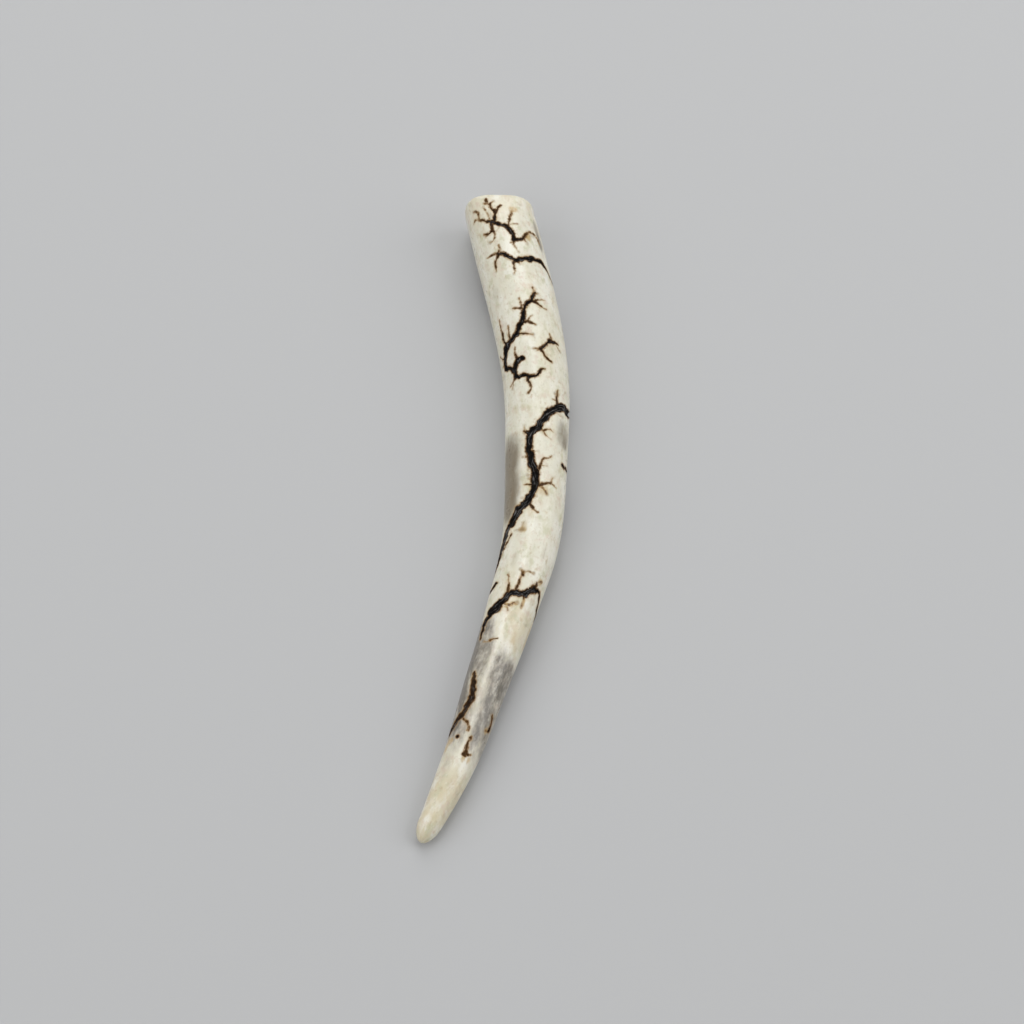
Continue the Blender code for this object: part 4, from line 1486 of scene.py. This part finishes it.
def let_light_in(shader):
    """Light enters bone by less than a millimetre before it comes back."""
    shader.inputs["Subsurface Weight"].default_value = 0.15
    shader.inputs["Subsurface Radius"].default_value = (1.0, 0.78, 0.50)
    shader.inputs["Subsurface Scale"].default_value = 0.8 * MM


side_material, shader = antler_finish("polished antler", 0.45, 0.5)
let_light_in(shader)
tree = side_material.node_tree
waxed = maths(tree, "SUBTRACT", 1.0, attribute(tree, "dull"))
feed(tree, shader.inputs["Coat Weight"], maths(tree, "MULTIPLY", waxed, WAX))
shader.inputs["Coat Roughness"].default_value = 0.2
char_material, _ = antler_finish("char", 0.50, 0.04)

# %% [markdown]
# The sawn end shows its core: tan, painted darker in its pores and in small specks, inside a
# smooth ivory wall.

# %% Material: sawn antler
CORE_TAN = (0.50, 0.375, 0.225, 1)
CORE_BROWN = (0.33, 0.215, 0.110, 1)
PORE_DARK = (0.070, 0.042, 0.024, 1)

cut_material, tree, shader = new_material("sawn antler")
let_light_in(shader)
at = attribute(tree, "place", "Vector")
bone = place_group(tree, bone_group, Place=at, Warmth=0.35)
spongy = mix(tree, mask(tree, cloud(tree, at, 1.1), 0.42, 0.62), CORE_TAN, CORE_BROWN)
core_color = mix(tree, mask(tree, attribute(tree, "core"), 0.0, 0.9, 0.9), bone["Color"], spongy)
specks = mask(tree, cloud(tree, at, 3.6, 2.0), 0.58, 0.68, 0.7)
specks = maths(tree, "MULTIPLY", specks, attribute(tree, "core"))
core_color = mix(tree, specks, core_color, PORE_DARK)
# the pores, which are dents, are painted nearly black as well
core_color = mix(tree, mask(tree, attribute(tree, "pores"), 0.25, 0.8, 0.92), core_color, PORE_DARK)
polish = place_group(tree, polish_group, Place=at, Base=0.40, Wander=0.15,
                     Char=attribute(tree, "pores"), Char_Roughness=0.85, Lines=0.6)
dress(tree, shader, core_color, polish, 0.3)

# %% [markdown]
# Each face takes one finish: char on the burns and at their rims, sawn antler on the cut,
# polished antler elsewhere. The tine stands for the CAD solid from here on: it rides on the same
# body and hides the solid.

# %% Put the tine in the frame
CHARRED_EDGE, CHARRED_BLACK = -0.02, 0.25    # millimetres inside a torn edge, and blackness
charred = (torn_edge > CHARRED_EDGE) & (field["black"] > CHARRED_BLACK)
finish = np.where(charred[corners].any(axis=1), 1, 0)
finish = np.where(flat_face.ravel(), 2, finish)
for material in (side_material, char_material, cut_material):
    mesh_data.materials.append(material)
mesh_data.polygons.foreach_set("material_index", finish.astype(np.int32))
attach(tine, "root")
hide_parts(TINE)

# %% [markdown]
# ## Studio
#
# A plain pale round floor in an evenly bright room. Five large soft panels stand round it, the
# strongest behind the tine and to its right, so the shadow is soft all round and darkest where
# the tine nearly touches the floor. A small soft lamp nearly overhead draws the gleam on the
# crest. The floor ends some way off, and past its end the camera sees a plain grey of about the
# same brightness, which gives no light. The colours are shown without a film curve, so white
# stays white.

# %% Floor and light
FLOOR_GREY = 0.50
FLOOR_RADIUS = 1.15    # metres
FAR_GREY = 0.54        # what the floor looks like when lit, seen past its end too
ROOM_LIGHT = 0.35
PANELS = {
    # where it stands as (degrees round from +Y towards +X, degrees up), side in metres, watts
    "panel_behind": ((0, 40), 0.9, 5.1),
    "panel_right": ((90, 38), 0.9, 4.7),
    "panel_left": ((270, 38), 0.9, 2.6),
    "panel_front_left": ((225, 38), 0.9, 2.45),
    "panel_high_right": ((45, 62), 0.9, 1.5),
    "lamp_above": ((348, 75), 0.30, 1.1),
}
PANEL_DISTANCE = 1.2    # metres

bpy.ops.mesh.primitive_circle_add(vertices=96, radius=FLOOR_RADIUS, fill_type="NGON")
floor = bpy.context.object
floor.name = "floor"
floor_material, tree, shader = new_material("pale floor")
shader.inputs["Base Color"].default_value = (0.99 * FLOOR_GREY, FLOOR_GREY, 1.01 * FLOOR_GREY, 1)
shader.inputs["Roughness"].default_value = 0.9
shader.inputs["Specular IOR Level"].default_value = 0.1
floor.data.materials.append(floor_material)

for name, ((round_, up), side, watts) in PANELS.items():
    panel = bpy.data.objects.new(name, bpy.data.lights.new(name, "AREA"))
    panel.data.shape = "SQUARE"
    panel.data.size = side
    panel.data.energy = watts
    flat = math.cos(math.radians(up))
    away = Vector((flat * math.sin(math.radians(round_)), flat * math.cos(math.radians(round_)),
                   math.sin(math.radians(up))))
    panel.location = away * PANEL_DISTANCE
    panel.rotation_euler = away.to_track_quat("Z", "Y").to_euler()
    bpy.context.scene.collection.objects.link(panel)

world = bpy.data.worlds.new("room")
world.use_nodes = True
room = world.node_tree
glow = next(node for node in room.nodes if node.type == "BACKGROUND")
glow.inputs["Color"].default_value = (1.0, 1.0, 1.0, 1)
glow.inputs["Strength"].default_value = ROOM_LIGHT
far = add(room, "ShaderNodeBackground", Color=(FAR_GREY, FAR_GREY, FAR_GREY, 1), Strength=1.0)
either = add(room, "ShaderNodeMixShader", Fac=add(room, "ShaderNodeLightPath").outputs["Is Camera Ray"])
room.links.new(glow.outputs[0], either.inputs[1])
room.links.new(far.outputs[0], either.inputs[2])
outside = next(node for node in room.nodes if node.type == "OUTPUT_WORLD")
room.links.new(either.outputs[0], outside.inputs["Surface"])
bpy.context.scene.world = world
bpy.context.scene.view_settings.view_transform = "Standard"
